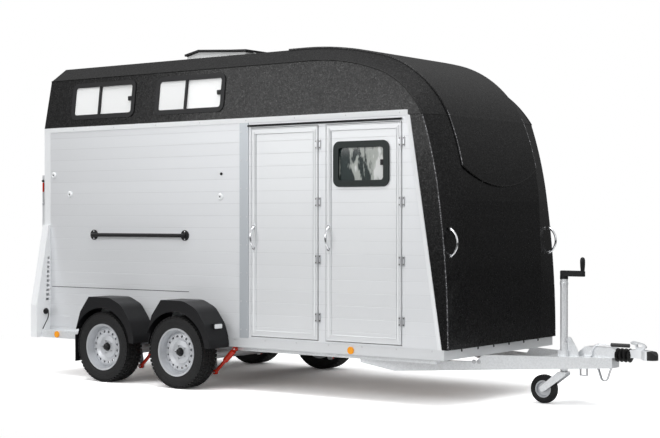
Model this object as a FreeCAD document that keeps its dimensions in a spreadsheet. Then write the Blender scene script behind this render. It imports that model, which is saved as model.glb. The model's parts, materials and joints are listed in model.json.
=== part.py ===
import FreeCAD, Part
import math
import operator
import os

import Sketcher
from FreeCAD import Placement, Rotation, Vector

# Driving dimensions, in millimetres. A station is a distance forward from the rear
# end of the side walls. Heights are above the ground.
# Columns: name, value, what it is.
SIZES = [
    ("body_width", 1750, "over the side walls"),
    ("wall_thick", 25, "plank wall"),
    ("rail_top", 2308, "height of the walls' top rail"),
    ("rail_height", 42, "depth of the top rail"),
    ("rail_proud", 6, "how far rails and profiles stand out of the wall"),
    ("sill_bottom", 369, "underside of the side sill"),
    ("sill_height", 79, "depth of the side sill"),
    ("sill_front", 4447, "station of the sills' front end"),
    ("floor_thick", 25, "floor board"),
    ("chassis_bottom", 333, "underside of the chassis rails"),
    ("chassis_rail_width", 50, "width of a chassis rail"),
    ("chassis_inset", 60, "chassis rail's face inside the wall's face"),
    ("fit_gap", 0.3, "clearance of a seated piece"),
    ("post_width", 82, "rear corner post along the body"),
    ("post_depth", 60, "rear corner post across the body"),
    ("slant_top", 4093, "station of the wall's slanted front edge at the rail"),
    ("slant_bottom", 4390, "station of the slanted edge at the sill"),
    ("slant_width", 35, "profile on the slanted edge"),
    ("mid_post", 2410, "station of the post behind the doors"),
    ("door_bottom", 469, "lower edge of both doors"),
    ("door_head", 92, "doors' upper edge below the rail's top"),
    ("tack_door_rear", 2538, "rear edge of the rear door"),
    ("tack_door_front", 3238, "front edge of the rear door"),
    ("front_door_rear", 3322, "rear edge of the front door"),
    ("front_door_front", 4055, "front edge of the front door at its top"),
    ("door_gap", 6, "gap round a door"),
    ("door_border", 52, "raised border round a door's field"),
    ("door_field", 5, "how deep the field lies in the border"),
    ("strip_width", 96, "cover strip on the post behind the doors"),
    ("strip_thick", 5, "cover strip"),
    ("door_thick", 32, "door leaf"),
    ("door_window_rear", 3400, "station of the door window's rear edge"),
    ("door_window_length", 540, "door window along the body"),
    ("door_window_drop", 230, "door window's upper edge below the rail's top"),
    ("door_window_height", 366, "door window, upright"),
    ("door_window_frame", 52, "width of the door window's rubber frame"),
    ("glass_thick", 5, "panes"),
    ("hinge_length", 76, "door hinge, upright"),
    ("hinge_width", 58, "door hinge, open"),
    ("hinge_knuckle", 8, "radius of the door hinges' knuckles"),
    ("hinge_pin", 4, "radius of the door hinges' pins"),
    ("ramp_pin", 11, "radius of the ramp's hinge bar"),
    ("lid_pin", 5, "radius of the hatch lid's hinge pin"),
    ("roof_rise", 581, "flat roof over the top rail"),
    ("crease_rise", 448, "roof's side crease over the top rail"),
    ("crease_half", 820, "half width at the side crease"),
    ("roof_half", 600, "half width of the flat roof"),
    ("shell_thick", 22, "wall of the roof and nose mouldings"),
    ("rear_lean", 40, "forward lean of the roof's rear edge at the crease"),
    ("seam_drop", 38, "joint between roof and nose below the rail's top"),
    ("crease_start", 3050, "station where the side crease starts to fall"),
    ("crease_front", 4245, "station of the side crease at the seam"),
    ("roof_start", 2870, "station where the roof starts to fall"),
    ("roof_front", 4310, "station of the roof's middle at the seam"),
    ("nose_corner", 4479, "station of the nose's corners at the sill"),
    ("nose_front", 4487, "station of the nose's front at the sill"),
    ("visor_proud", 12, "raised front panel over the shell"),
    ("visor_corner", 390, "raised panel's lower corners below the seam"),
    ("visor_dip", 156, "middle of the raised panel's edge below its corners"),
    ("window_lift", 68, "side windows over the top rail"),
    ("window_height", 338, "side windows, upright"),
    ("window_length", 808, "side windows along the body"),
    ("window_rear", 350, "station of the rear side window"),
    ("window_pitch", 1061, "from one side window to the next"),
    ("window_frame", 42, "width of the side windows' frame"),
    ("window_proud", 8, "how far the frames stand out"),
    ("window_corner", 66, "outer corner radius of the frames"),
    ("hatch_rear", 1231, "station of the roof hatch's rear edge"),
    ("hatch_length", 704, "roof hatch along the body"),
    ("hatch_half", 232, "half width of the roof hatch"),
    ("hatch_rise", 74, "hatch's fixed collar over the roof, at its ends"),
    ("hatch_crown", 34, "rear shoulder of the hatch over its ends"),
    ("hatch_lid", 18, "thickness of the hatch lid"),
    ("hatch_overlap", 18, "lid past its collar"),
    ("axle_rear", 1014, "station of the rear axle"),
    ("axle_spacing", 880, "between the axles"),
    ("wheel_radius", 312, "tyre"),
    ("tyre_width", 195, "tyre"),
    ("rim_radius", 207, "rim flange"),
    ("rim_width", 178, "over the rim flanges"),
    ("wheel_gap", 51, "tyres' inner side from the walls"),
    ("hub_hole", 33, "radius of the rim's centre hole"),
    ("bolt_circle", 112, "diameter of the wheel bolts' circle"),
    ("guard_lip", 16, "mudguards past the tyres"),
    ("guard_thick", 6, "mudguard wall"),
    ("guard_top", 757, "top of the mudguards"),
    ("guard_back", 338, "mudguard behind its axle"),
    ("guard_ahead", 400, "mudguard ahead of its axle"),
    ("guard_foot", 365, "lower edge of the mudguards"),
    ("marker_inset", 147, "middle of the front marker lamps inside the guards' outer side"),
    ("marker_width", 110, "front marker lamp, across"),
    ("step_proud", 115, "outer face of the rear steps from the walls"),
    ("step_bottom", 351, "lower edge of the rear steps"),
    ("step_top", 412, "tread of the rear steps"),
    ("step_sheet", 4, "folded sheet of the rear steps"),
    ("tooth_pitch", 24, "from tooth to tooth of a step's tread"),
    ("tooth_height", 12, "teeth of a step's tread"),
    ("reflector_radius", 30, "round side reflectors"),
    ("reflector_thick", 9, "round side reflectors"),
    ("axle_tube", 45, "radius of the axle tube"),
    ("arm_reach", 150, "hub to axle tube, along the body"),
    ("damper_foot", 214, "damper's lower pin ahead of the hub"),
    ("damper_low", 134, "height of the damper's lower pin"),
    ("damper_head", 440, "damper's upper pin ahead of the hub"),
    ("damper_high", 346, "height of the damper's upper pin"),
    ("damper_pin", 8, "radius of the damper pins"),
    ("light_proud", 170, "outer edge of the rear light panels from the walls"),
    ("light_depth", 80, "rear light panel along the body"),
    ("wing_top", 1400, "top of the rear light panels"),
    ("wing_knee", 650, "height where the rear light panels turn upright"),
    ("louvre_pitch", 43, "from louvre to louvre of the light panels"),
    ("ramp_drop", 440, "ramp's upper edge below the rail's top"),
    ("ramp_bottom", 430, "lower edge of the ramp"),
    ("ramp_thick", 42, "ramp leaf"),
    ("ramp_reach", 52, "rearmost face of the ramp behind the walls"),
    ("beam_rear", 3600, "station where the drawbar beams start"),
    ("beam_front", 5455, "station where the drawbar beams meet"),
    ("beam_rear_half", 790, "half spread of the beams at their start"),
    ("beam_front_half", 66, "half spread of the beams at their front"),
    ("beam_width", 50, "width of a beam"),
    ("beam_top", 385, "upper face of the beams under the nose"),
    ("beam_deep", 145, "depth of a beam at its rear"),
    ("beam_shallow", 80, "depth of a beam at its front"),
    ("coupling_height", 430, "middle of the ball"),
    ("coupling_length", 345, "coupling and bellows ahead of the drawbar"),
    ("ball_radius", 25, "socket of the coupling"),
    ("bellows_length", 110, "rubber bellows"),
    ("bellows_radius", 36, "ridges of the bellows"),
    ("bellows_groove", 10, "depth of the bellows' grooves"),
    ("jockey_station", 5060, "jockey leg"),
    ("jockey_offset", 92, "jockey leg to the right of the middle"),
    ("jockey_tube", 30, "radius of the jockey leg's outer tube"),
    ("jockey_radius", 114, "jockey wheel"),
    ("jockey_width", 62, "jockey tyre"),
    ("jockey_trail", 172, "jockey wheel's axle behind its leg"),
    ("jockey_top", 985, "upper end of the jockey leg"),
    ("door_handle_height", 1300, "middle of the door handles"),
    ("door_handle_length", 180, "door handles, upright"),
    ("rail_bar_height", 1310, "grab rail"),
    ("rail_bar_rear", 668, "station of the grab rail's rear end"),
    ("rail_bar_length", 1118, "grab rail between its ends"),
    ("rail_bar_radius", 17, "grab rail's tube"),
    ("handle_height", 1273, "middle of the nose handles"),
    ("handle_half", 803, "nose handles from the middle"),
    ("handle_length", 210, "nose handles, upright"),
]

OPERATIONS = {"+": operator.add, "-": operator.sub, "*": operator.mul, "/": operator.truediv}


class Size:
    """A length that keeps the sheet formula it comes from."""

    def __init__(self, value, formula):
        self.value = float(value)
        self.formula = formula

    def __add__(self, other):
        return combine(self, "+", other)

    def __radd__(self, other):
        return combine(other, "+", self)

    def __sub__(self, other):
        return combine(self, "-", other)

    def __rsub__(self, other):
        return combine(other, "-", self)

    def __mul__(self, other):
        return combine(self, "*", other)

    def __rmul__(self, other):
        return combine(other, "*", self)

    def __truediv__(self, other):
        return combine(self, "/", other)

    def __neg__(self):
        return combine(0, "-", self)

    def __float__(self):
        return self.value

    def __abs__(self):
        return self if self.value >= 0 else -self


def as_size(value):
    if isinstance(value, Size):
        return value
    text = repr(float(value))
    return Size(value, f"({text})" if value < 0 else text)


def combine(left, sign, right):
    left = as_size(left)
    right = as_size(right)
    value = OPERATIONS[sign](left.value, right.value)
    return Size(value, f"({left.formula} {sign} {right.formula})")


doc = FreeCAD.newDocument("HorseTrailer")
sheet = doc.addObject("Spreadsheet::Sheet", "Sizes")
for row, (alias, value, note) in enumerate(SIZES, start=1):
    sheet.set(f"A{row}", note)
    sheet.set(f"B{row}", str(value))
    sheet.setAlias(f"B{row}", alias)
doc.recompute()


class Sheet:
    """The sheet's sizes by name."""


S = Sheet()
for alias, value, note in SIZES:
    setattr(S, alias, Size(sheet.get(alias), f"Sizes.{alias}"))


# Helpers: each one makes a document object bound to the sheet.
def bind(item, **values):
    for name, value in values.items():
        value = as_size(value)
        setattr(item, name, value.value)
        if "Sizes." in value.formula:
            item.setExpression(name, value.formula)
    return item


def place(item, x=0, y=0, z=0, turn=None):
    spots = [as_size(x), as_size(y), as_size(z)]
    item.Placement = Placement(Vector(*[float(v) for v in spots]), turn or Rotation())
    for axis, value in zip("xyz", spots):
        if "Sizes." in value.formula:
            item.setExpression(f"Placement.Base.{axis}", value.formula)
    return item


def box(name, xs, ys, zs):
    item = doc.addObject("Part::Box", name)
    xs, ys, zs = [[as_size(v) for v in pair] for pair in (xs, ys, zs)]
    bind(item, Length=xs[1] - xs[0], Width=ys[1] - ys[0], Height=zs[1] - zs[0])
    return place(item, xs[0], ys[0], zs[0])


ALONG = {
    "x": Rotation(Vector(0, 1, 0), 90),
    "y": Rotation(Vector(1, 0, 0), -90),
    "z": Rotation(),
}


def rod(name, start, along, length, radius):
    """A round bar from start along one axis."""
    item = doc.addObject("Part::Cylinder", name)
    bind(item, Radius=radius, Height=length)
    return place(item, *start, turn=ALONG[along])


def cone(name, start, along, length, radius, end_radius):
    item = doc.addObject("Part::Cone", name)
    bind(item, Radius1=radius, Radius2=end_radius, Height=length)
    return place(item, *start, turn=ALONG[along])


def fuse(name, pieces):
    item = doc.addObject("Part::MultiFuse", name)
    item.Shapes = pieces
    item.Refine = True
    return item


def cut(name, base, *tools):
    for number, tool in enumerate(tools, start=1):
        item = doc.addObject("Part::Cut", name if number == len(tools) else f"{name}_cut")
        item.Base = base
        item.Tool = tool
        base = item
    return base


def group(name, pieces):
    """Like pieces of one node that don't touch."""
    item = doc.addObject("Part::Compound", name)
    item.Links = pieces
    return item


def mirrored(name, piece):
    """The same piece on the other side of the middle plane."""
    item = doc.addObject("Part::Mirroring", name)
    item.Source = piece
    item.Normal = Vector(0, 1, 0)
    return item


def both_sides(name, piece):
    return group(name, [piece, mirrored(f"{name}_left", piece)])


def feature(name, shape):
    """A form that neither sketches nor primitives fit, made from the sheet's values."""
    item = doc.addObject("Part::Feature", name)
    item.Shape = shape
    return item


def origin_plane(body, role):
    return next(item for item in body.Origin.OriginFeatures if item.Role == role)


def corner(points, index):
    """Tangent points, centre and turning of one rounded corner of an outline."""
    here = points[index]
    before = points[index - 1]
    after = points[(index + 1) % len(points)]
    tip = Vector(float(here[0]), float(here[1]), 0)
    radius = float(here[2]) if len(here) > 2 else 0.0
    if not radius:
        return tip, tip, None, 0
    back = (Vector(float(before[0]), float(before[1]), 0) - tip).normalize()
    ahead = (Vector(float(after[0]), float(after[1]), 0) - tip).normalize()
    half = back.getAngle(ahead) / 2
    reach = radius / math.tan(half)
    centre = tip + (back + ahead).normalize() * (radius / math.sin(half))
    turning = 1 if back.cross(ahead).z < 0 else -1
    return tip + back * reach, tip + ahead * reach, centre, turning


def draw(sketch, points):
    """A closed outline; a third value in a point rounds that corner."""
    count = len(points)
    first = sketch.GeometryCount
    corners = [corner(points, index) for index in range(count)]
    for index in range(count):
        start = corners[index][1]
        end = corners[(index + 1) % count][0]
        sketch.addGeometry(Part.LineSegment(start, end))
    for index, (x, y, *rest) in enumerate(points):
        line = first + index
        previous = first + (index - 1) % count
        arrive, leave, centre, turning = corners[index]
        if turning:
            radius = as_size(rest[0])
            ends = (arrive, leave) if turning > 0 else (leave, arrive)
            angles = [math.atan2(end.y - centre.y, end.x - centre.x) for end in ends]
            circle = Part.Circle(centre, Vector(0, 0, 1), radius.value)
            arc = sketch.addGeometry(Part.ArcOfCircle(circle, *angles))
            spot = sketch.addGeometry(Part.Point(Vector(float(x), float(y), 0)), True)
            arc_start = 1 if turning > 0 else 2
            sketch.addConstraint(Sketcher.Constraint("Tangent", previous, 2, arc, arc_start))
            sketch.addConstraint(Sketcher.Constraint("Tangent", line, 1, arc, 3 - arc_start))
            sketch.addConstraint(Sketcher.Constraint("PointOnObject", spot, 1, previous))
            sketch.addConstraint(Sketcher.Constraint("PointOnObject", spot, 1, line))
            held = sketch.addConstraint(Sketcher.Constraint("Radius", arc, radius.value))
            tie(sketch, held, radius)
            target = (spot, 1)
        else:
            sketch.addConstraint(Sketcher.Constraint("Coincident", previous, 2, line, 1))
            target = (line, 1)
        for kind, value in (("DistanceX", as_size(x)), ("DistanceY", as_size(y))):
            held = sketch.addConstraint(Sketcher.Constraint(kind, -1, 1, *target, value.value))
            tie(sketch, held, value)


def tie(sketch, held, value):
    if "Sizes." in value.formula:
        sketch.setExpression(f"Constraints[{held}]", value.formula)


# Which way a plane's sketch faces along its axis.
FACING = {"XY_Plane": 1, "XZ_Plane": -1, "YZ_Plane": 1}


def prism(name, plane, low, high, outline, holes=()):
    """A padded sketch from low to high along the plane's normal axis."""
    body = doc.addObject("PartDesign::Body", name)
    sketch = body.newObject("Sketcher::SketchObject", f"{name}_sketch")
    sketch.AttachmentSupport = (origin_plane(body, plane), [""])
    sketch.MapMode = "FlatFace"
    draw(sketch, outline)
    for hole in holes:
        draw(sketch, hole)
    start = as_size(low) if FACING[plane] > 0 else -as_size(high)
    sketch.AttachmentOffset = Placement(Vector(0, 0, start.value), Rotation())
    if "Sizes." in start.formula:
        sketch.setExpression("AttachmentOffset.Base.z", start.formula)
    pad = body.newObject("PartDesign::Pad", f"{name}_pad")
    pad.Profile = sketch
    bind(pad, Length=as_size(high) - as_size(low))
    return body


def turned(name, outline, centre, flip=False, plane="YZ_Plane"):
    """A sketch of (along, radius) turned about its first axis: Y for a wheel's plane, X for XZ."""
    body = doc.addObject("PartDesign::Body", name)
    sketch = body.newObject("Sketcher::SketchObject", f"{name}_sketch")
    sketch.AttachmentSupport = (origin_plane(body, plane), [""])
    sketch.MapMode = "FlatFace"
    draw(sketch, outline)
    turn = body.newObject("PartDesign::Revolution", f"{name}_turn")
    turn.Profile = sketch
    turn.ReferenceAxis = (sketch, ["H_Axis"])
    turn.Angle = 360
    place(body, *centre, turn=Rotation(Vector(0, 0, 1), 180 if flip else 0))
    return body


def ring_of_holes(body, name, radius, distance, depth, count):
    """Round holes through a turned body, evenly round its axle, the first half a pitch up."""
    doc.recompute()
    half_pitch = math.pi / count
    sketch = body.newObject("Sketcher::SketchObject", f"{name}_sketch")
    sketch.AttachmentSupport = (origin_plane(body, "XZ_Plane"), [""])
    sketch.MapMode = "FlatFace"
    spots = (distance * math.cos(half_pitch), distance * math.sin(half_pitch))
    middle_spot = Vector(*[float(v) for v in spots], 0)
    hole = sketch.addGeometry(Part.Circle(middle_spot, Vector(0, 0, 1), float(radius)))
    held = sketch.addConstraint(Sketcher.Constraint("Radius", hole, float(radius)))
    tie(sketch, held, as_size(radius))
    for kind, value in zip(("DistanceX", "DistanceY"), spots):
        held = sketch.addConstraint(Sketcher.Constraint(kind, -1, 1, hole, 3, float(value)))
        tie(sketch, held, value)
    pocket = body.newObject("PartDesign::Pocket", f"{name}_pocket")
    pocket.Profile = sketch
    pocket.Midplane = True
    bind(pocket, Length=depth)
    ring = body.newObject("PartDesign::PolarPattern", f"{name}_ring")
    ring.Originals = [pocket]
    ring.Axis = (sketch, ["N_Axis"])
    ring.Angle = 360
    ring.Occurrences = count
    body.Tip = ring
    return body


def bent_tube(name, points, radius, bend):
    """A round tube through points, with one bend radius at every inner corner."""
    spots = [Vector(*[float(v) for v in point]) for point in points]
    edges = []
    start = spots[0]
    for index in range(1, len(spots) - 1):
        tip = spots[index]
        back = (spots[index - 1] - tip).normalize()
        ahead = (spots[index + 1] - tip).normalize()
        half = back.getAngle(ahead) / 2
        reach = float(bend) / math.tan(half)
        arrive = tip + back * reach
        leave = tip + ahead * reach
        centre = tip + (back + ahead).normalize() * (float(bend) / math.sin(half))
        midway = centre + (tip - centre).normalize() * float(bend)
        edges.append(Part.LineSegment(start, arrive).toShape())
        edges.append(Part.Arc(arrive, midway, leave).toShape())
        start = leave
    edges.append(Part.LineSegment(start, spots[-1]).toShape())
    path = Part.Wire(edges)
    section = Part.Wire([Part.Circle(spots[0], spots[1] - spots[0], float(radius)).toShape()])
    return feature(name, path.makePipeShell([section], True, True))


# The row's own frame: X forward with its middle halfway along the whole trailer,
# Y to the left, Z up from the ground.
coupling_reach = S.beam_front + S.coupling_length
middle = (coupling_reach - S.ramp_reach) / 2


def at(station):
    """Row X of a station."""
    return station - middle


roof_top = S.rail_top + S.roof_rise
crease_height = S.rail_top + S.crease_rise
seam_height = S.rail_top - S.seam_drop
window_bottom = S.rail_top + S.window_lift
door_top = S.rail_top - S.door_head
half = S.body_width / 2
inner_half = half - S.wall_thick
sill_top = S.sill_bottom + S.sill_height
nose_bottom = sill_top + S.fit_gap
rail_bottom = S.rail_top - S.rail_height
floor_bottom = sill_top - S.floor_thick
ramp_top = S.rail_top - S.ramp_drop
door_window_bottom = S.rail_top - S.door_window_drop - S.door_window_height
wheel_outer = half + S.wheel_gap + S.tyre_width
guard_outer = wheel_outer + S.guard_lip
marker_middle = guard_outer - S.marker_inset
step_reach = half + S.step_proud
light_reach = half + S.light_proud
nodes = []


def node(name, item):
    """A finished sub-part; its label names its file."""
    item.Label = name
    nodes.append((name, item))
    return item


# Chassis: two long rails, a rear bar and cross members under the floor.
rail_outer = half - S.chassis_inset
rail_inner = rail_outer - S.chassis_rail_width
chassis_front = S.slant_bottom - 47
long_rail = box("long_rail", (at(as_size(60)), at(chassis_front)), (-rail_outer, -rail_inner),
                (S.chassis_bottom, floor_bottom))
CROSS_MEMBERS = [60, 640, 1454, 2240, 2900, 3450, 4290]
cross_width = 50
cross = [
    box(f"cross_member_{number}", (at(as_size(station)), at(as_size(station) + cross_width)),
        (-rail_inner, rail_inner), (S.chassis_bottom + 30, floor_bottom))
    for number, station in enumerate(CROSS_MEMBERS, start=1)
]
damper_y = rail_outer + 30
axle_z = S.chassis_bottom - S.axle_tube - S.fit_gap
upper_pins = [
    rod(f"damper_pin_{number}", (at(S.axle_rear + S.axle_spacing * number + S.damper_head), -damper_y - 18,
                                 S.damper_high), "y", damper_y + 20 - rail_outer, S.damper_pin)
    for number in range(2)
]
node("chassis", fuse("chassis", [long_rail, mirrored("long_rail_left", long_rail)] + cross + upper_pins
                     + [mirrored(f"{pin.Name}_left", pin) for pin in upper_pins]))

node("floor_board", box("floor_board", (at(as_size(20)), at(S.sill_front - 30.3)), (-inner_half, inner_half),
                        (floor_bottom, sill_top)))

# Side sills: the wall stands on them.
sill = box("sill_right", (at(as_size(0)), at(S.sill_front)), (-half - S.rail_proud, -inner_half - S.fit_gap),
           (S.sill_bottom, sill_top))
front_sill = box("front_sill", (at(S.sill_front - 30), at(S.sill_front)),
                 (-inner_half - S.fit_gap, inner_half + S.fit_gap), (S.sill_bottom, sill_top))
node("sills", fuse("sills", [sill, mirrored("sill_left", sill), front_sill]))


def slant_at(height, shift=0):
    """Station of the slanted front edge of the wall at one height."""
    share = (height - sill_top) / (S.rail_top - sill_top)
    return S.slant_bottom + (S.slant_top - S.slant_bottom) * share + shift


# Side walls: the left one is whole, the right one ends at the post behind the doors.
wall_foot = sill_top
wall_head = rail_bottom
left_outline = [
    (at(S.post_width), wall_foot),
    (at(slant_at(wall_foot)), wall_foot),
    (at(slant_at(wall_head)), wall_head),
    (at(S.post_width), wall_head),
]
node("wall_left", prism("wall_left", "XZ_Plane", inner_half, half, left_outline))
node("wall_right", box("wall_right", (at(S.post_width), at(S.mid_post)), (-half, -inner_half),
                       (wall_foot, wall_head)))

# Door frame: posts behind, between and ahead of the doors, under one header.
gap = S.door_gap
frame_outline = [
    (at(S.mid_post), wall_foot),
    (at(slant_at(wall_foot)), wall_foot),
    (at(slant_at(wall_head)), wall_head),
    (at(S.mid_post), wall_head),
]
tack_hole = [
    (at(S.tack_door_rear - gap), S.door_bottom - gap),
    (at(S.tack_door_front + gap), S.door_bottom - gap),
    (at(S.tack_door_front + gap), door_top + gap),
    (at(S.tack_door_rear - gap), door_top + gap),
]
front_hole = [
    (at(S.front_door_rear - gap), S.door_bottom - gap),
    (at(S.front_door_front + gap), S.door_bottom - gap),
    (at(S.front_door_front + gap), door_top + gap),
    (at(S.front_door_rear - gap), door_top + gap),
]
node("door_frame", prism("door_frame", "XZ_Plane", -half, -inner_half, frame_outline,
                         [tack_hole, front_hole]))

# Rear portal: corner posts and the beam over the opening.
post = box("corner_post", (at(as_size(0)), at(S.post_width)), (-half, -half + S.post_depth),
           (wall_foot, S.rail_top))
lintel = box("lintel", (at(as_size(0)), at(as_size(50))), (-half + S.post_depth, half - S.post_depth),
             (S.rail_top - 60, S.rail_top))
node("rear_portal", fuse("rear_portal", [post, mirrored("corner_post_left", post), lintel]))

# Top rails and the pale profiles down the slanted front edges.
top_rail = box("top_rail", (at(S.post_width), at(S.slant_top + 22)),
               (-half - S.rail_proud, -half + S.wall_thick), (rail_bottom, S.rail_top))
node("top_rails", both_sides("top_rails", top_rail))
profile_outline = [
    (at(slant_at(wall_foot)), wall_foot),
    (at(slant_at(wall_foot, S.slant_width)), wall_foot),
    (at(slant_at(wall_head, S.slant_width)), wall_head),
    (at(slant_at(wall_head)), wall_head),
]
profile = prism("slant_profile", "XZ_Plane", -half - S.rail_proud, -half + S.wall_thick, profile_outline)
node("slant_profiles", both_sides("slant_profiles", profile))


# Roof and nose mouldings: side outlines at the crease and at the flat, joined by ruled bands.
# Columns: share of the way forward, share of the way down.
CREASE_CURVE = [(0.377, 0.070), (0.678, 0.280), (0.883, 0.630), (1.0, 1.0)]
ROOF_CURVE = [(0.299, 0.044), (0.559, 0.160), (0.792, 0.418), (1.0, 1.0)]


def falling(curve, start, end):
    """Stations and heights of a curve that falls from start to end."""
    return [(start[0] + (end[0] - start[0]) * ahead, start[1] + (end[1] - start[1]) * down)
            for ahead, down in curve]


crease_curve = falling(CREASE_CURVE, (S.crease_start, crease_height), (S.crease_front, seam_height))
roof_curve = falling(ROOF_CURVE, (S.roof_start, roof_top), (S.roof_front, seam_height))


def outline_wire(points, across):
    """A closed wire; a point with a third value ends an arc through the point before it."""
    spots = [Vector(float(x), across(float(z)), float(z)) for x, z, *rest in points]
    edges = []
    index = 0
    count = len(points)
    while index < count:
        ahead = (index + 1) % count
        if len(points[ahead]) > 2:
            further = (index + 2) % count
            edges.append(Part.Arc(spots[index], spots[ahead], spots[further]).toShape())
            index += 2
        else:
            edges.append(Part.LineSegment(spots[index], spots[ahead]).toShape())
            index += 1
    return Part.Wire(edges)


VIA = "on the arc"


def roof_outlines(inset):
    """The roof's side outline at the crease and at the flat, set in by a wall."""
    foot = S.rail_top
    low = seam_height
    t = inset
    step = S.slant_top + 22
    crease = [
        (at(as_size(0) + t), foot),
        (at(S.rear_lean + t), crease_height - t),
        (at(S.crease_start), crease_height - t),
        (at(crease_curve[0][0] - t / 3), crease_curve[0][1] - t, VIA),
        (at(crease_curve[1][0] - t / 2), crease_curve[1][1] - t / 1.2),
        (at(crease_curve[2][0] - t / 1.3), crease_curve[2][1] - t / 1.5, VIA),
        (at(crease_curve[3][0] - t), low),
        (at(step), low),
        (at(step), foot),
    ]
    flat = [
        (at(as_size(0) + t), foot),
        (at(as_size(0) + t), roof_top - t),
        (at(S.roof_start), roof_top - t),
        (at(roof_curve[0][0] - t / 3), roof_curve[0][1] - t, VIA),
        (at(roof_curve[1][0] - t / 2), roof_curve[1][1] - t / 1.2),
        (at(roof_curve[2][0] - t / 1.3), roof_curve[2][1] - t / 1.5, VIA),
        (at(roof_curve[3][0] - t), low),
        (at(step), low),
        (at(step), foot),
    ]
    return crease, flat


def roof_solid(inset):
    crease, flat = roof_outlines(inset)
    lean = (half.value - S.crease_half.value) / (float(crease_height) - S.rail_top.value)

    def side(sign):
        return lambda z: sign * (half.value - float(inset) - lean * (z - S.rail_top.value))

    def level(sign):
        return lambda z: sign * (S.roof_half.value - float(inset) / 3)

    wires = [
        outline_wire(crease, side(-1)),
        outline_wire(flat, level(-1)),
        outline_wire(flat, level(1)),
        outline_wire(crease, side(1)),
    ]
    return Part.makeLoft(wires, True, True)


def cuboid(xs, ys, zs):
    low = Vector(float(xs[0]), float(ys[0]), float(zs[0]))
    return Part.makeBox(float(xs[1]) - low.x, float(ys[1]) - low.y, float(zs[1]) - low.z, low)


def window_spans(grow=0):
    """Stations of the side windows, from rear to front."""
    for number in range(2):
        rear = S.window_rear + S.window_pitch * number
        yield rear - grow, rear + S.window_length + grow


def rounded_bar(xs, zs, radius, ys):
    """A bar across the body with a rounded rectangle as its section."""
    x0, x1 = float(xs[0]), float(xs[1])
    z0, z1 = float(zs[0]), float(zs[1])
    r = float(radius)
    k = r * (1 - math.sqrt(0.5))
    y = float(ys[0])
    # Columns: start of the corner's arc, its middle, its end.
    arcs = [
        ((x1 - r, z0), (x1 - k, z0 + k), (x1, z0 + r)),
        ((x1, z1 - r), (x1 - k, z1 - k), (x1 - r, z1)),
        ((x0 + r, z1), (x0 + k, z1 - k), (x0, z1 - r)),
        ((x0, z0 + r), (x0 + k, z0 + k), (x0 + r, z0)),
    ]
    edges = []
    for number, spots in enumerate(arcs):
        start, mid, end = [Vector(x, y, z) for x, z in spots]
        following = arcs[(number + 1) % len(arcs)][0]
        edges.append(Part.Arc(start, mid, end).toShape())
        edges.append(Part.LineSegment(end, Vector(following[0], y, following[1])).toShape())
    return Part.Face(Part.Wire(edges)).extrude(Vector(0, float(ys[1]) - y, 0))


shell = roof_solid(as_size(0)).cut(roof_solid(S.shell_thick))
for rear, front in window_spans():
    hole = rounded_bar((at(rear + 20), at(front - 20)), (window_bottom + 20, window_bottom + S.window_height - 20),
                       S.window_corner - 20, (-half, half))
    shell = shell.cut(hole)
hatch_hole = cuboid((at(S.hatch_rear + 40), at(S.hatch_rear + S.hatch_length - 40)),
                    (-S.hatch_half + 40, S.hatch_half - 40), (roof_top - 100, roof_top + 50))
shell = shell.cut(hatch_hole)
node("roof_shell", feature("roof_shell", shell))

# Nose: the side crease and the middle panel's edge, from the sill to the seam.
# Columns: share of the way back, share of the way up.
NOSE_CREASE = [(0.0, 0.0), (0.103, 0.358), (0.338, 0.632), (0.637, 0.841), (1.0, 1.0)]
NOSE_PANEL = [(0.0, 0.0), (0.011, 0.358), (0.107, 0.632), (0.463, 0.846), (1.0, 1.0)]
nose_crease = falling(NOSE_CREASE, (S.nose_corner, nose_bottom), (S.crease_front, seam_height))
nose_middle = falling(NOSE_PANEL, (S.nose_front, nose_bottom), (S.roof_front, seam_height))


def nose_outline(curve, inset, back):
    """Side outline of the nose, set in by a wall and reaching back into the body."""
    foot = nose_bottom
    head = seam_height
    t = inset
    return [
        (at(slant_at(foot, S.slant_width) - back), foot),
        (at(curve[0][0] - t), foot),
        (at(curve[1][0] - t), curve[1][1], VIA),
        (at(curve[2][0] - t), curve[2][1]),
        (at(curve[3][0] - t), curve[3][1], VIA),
        (at(curve[4][0] - t), head),
        (at(slant_at(head, S.slant_width) - back), head),
    ]


def nose_solid(inset, back):
    wires = [
        outline_wire(nose_outline(curve, inset, back), lambda z, y=y: y)
        for curve, y in (
            (nose_crease, -half.value + float(inset)),
            (nose_middle, -S.roof_half.value + float(inset) / 3),
            (nose_middle, S.roof_half.value - float(inset) / 3),
            (nose_crease, half.value - float(inset)),
        )
    ]
    return Part.makeLoft(wires, True, True)


node("nose_shell", feature("nose_shell", nose_solid(as_size(0), as_size(0)).cut(
    nose_solid(S.shell_thick, as_size(300)))))


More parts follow.
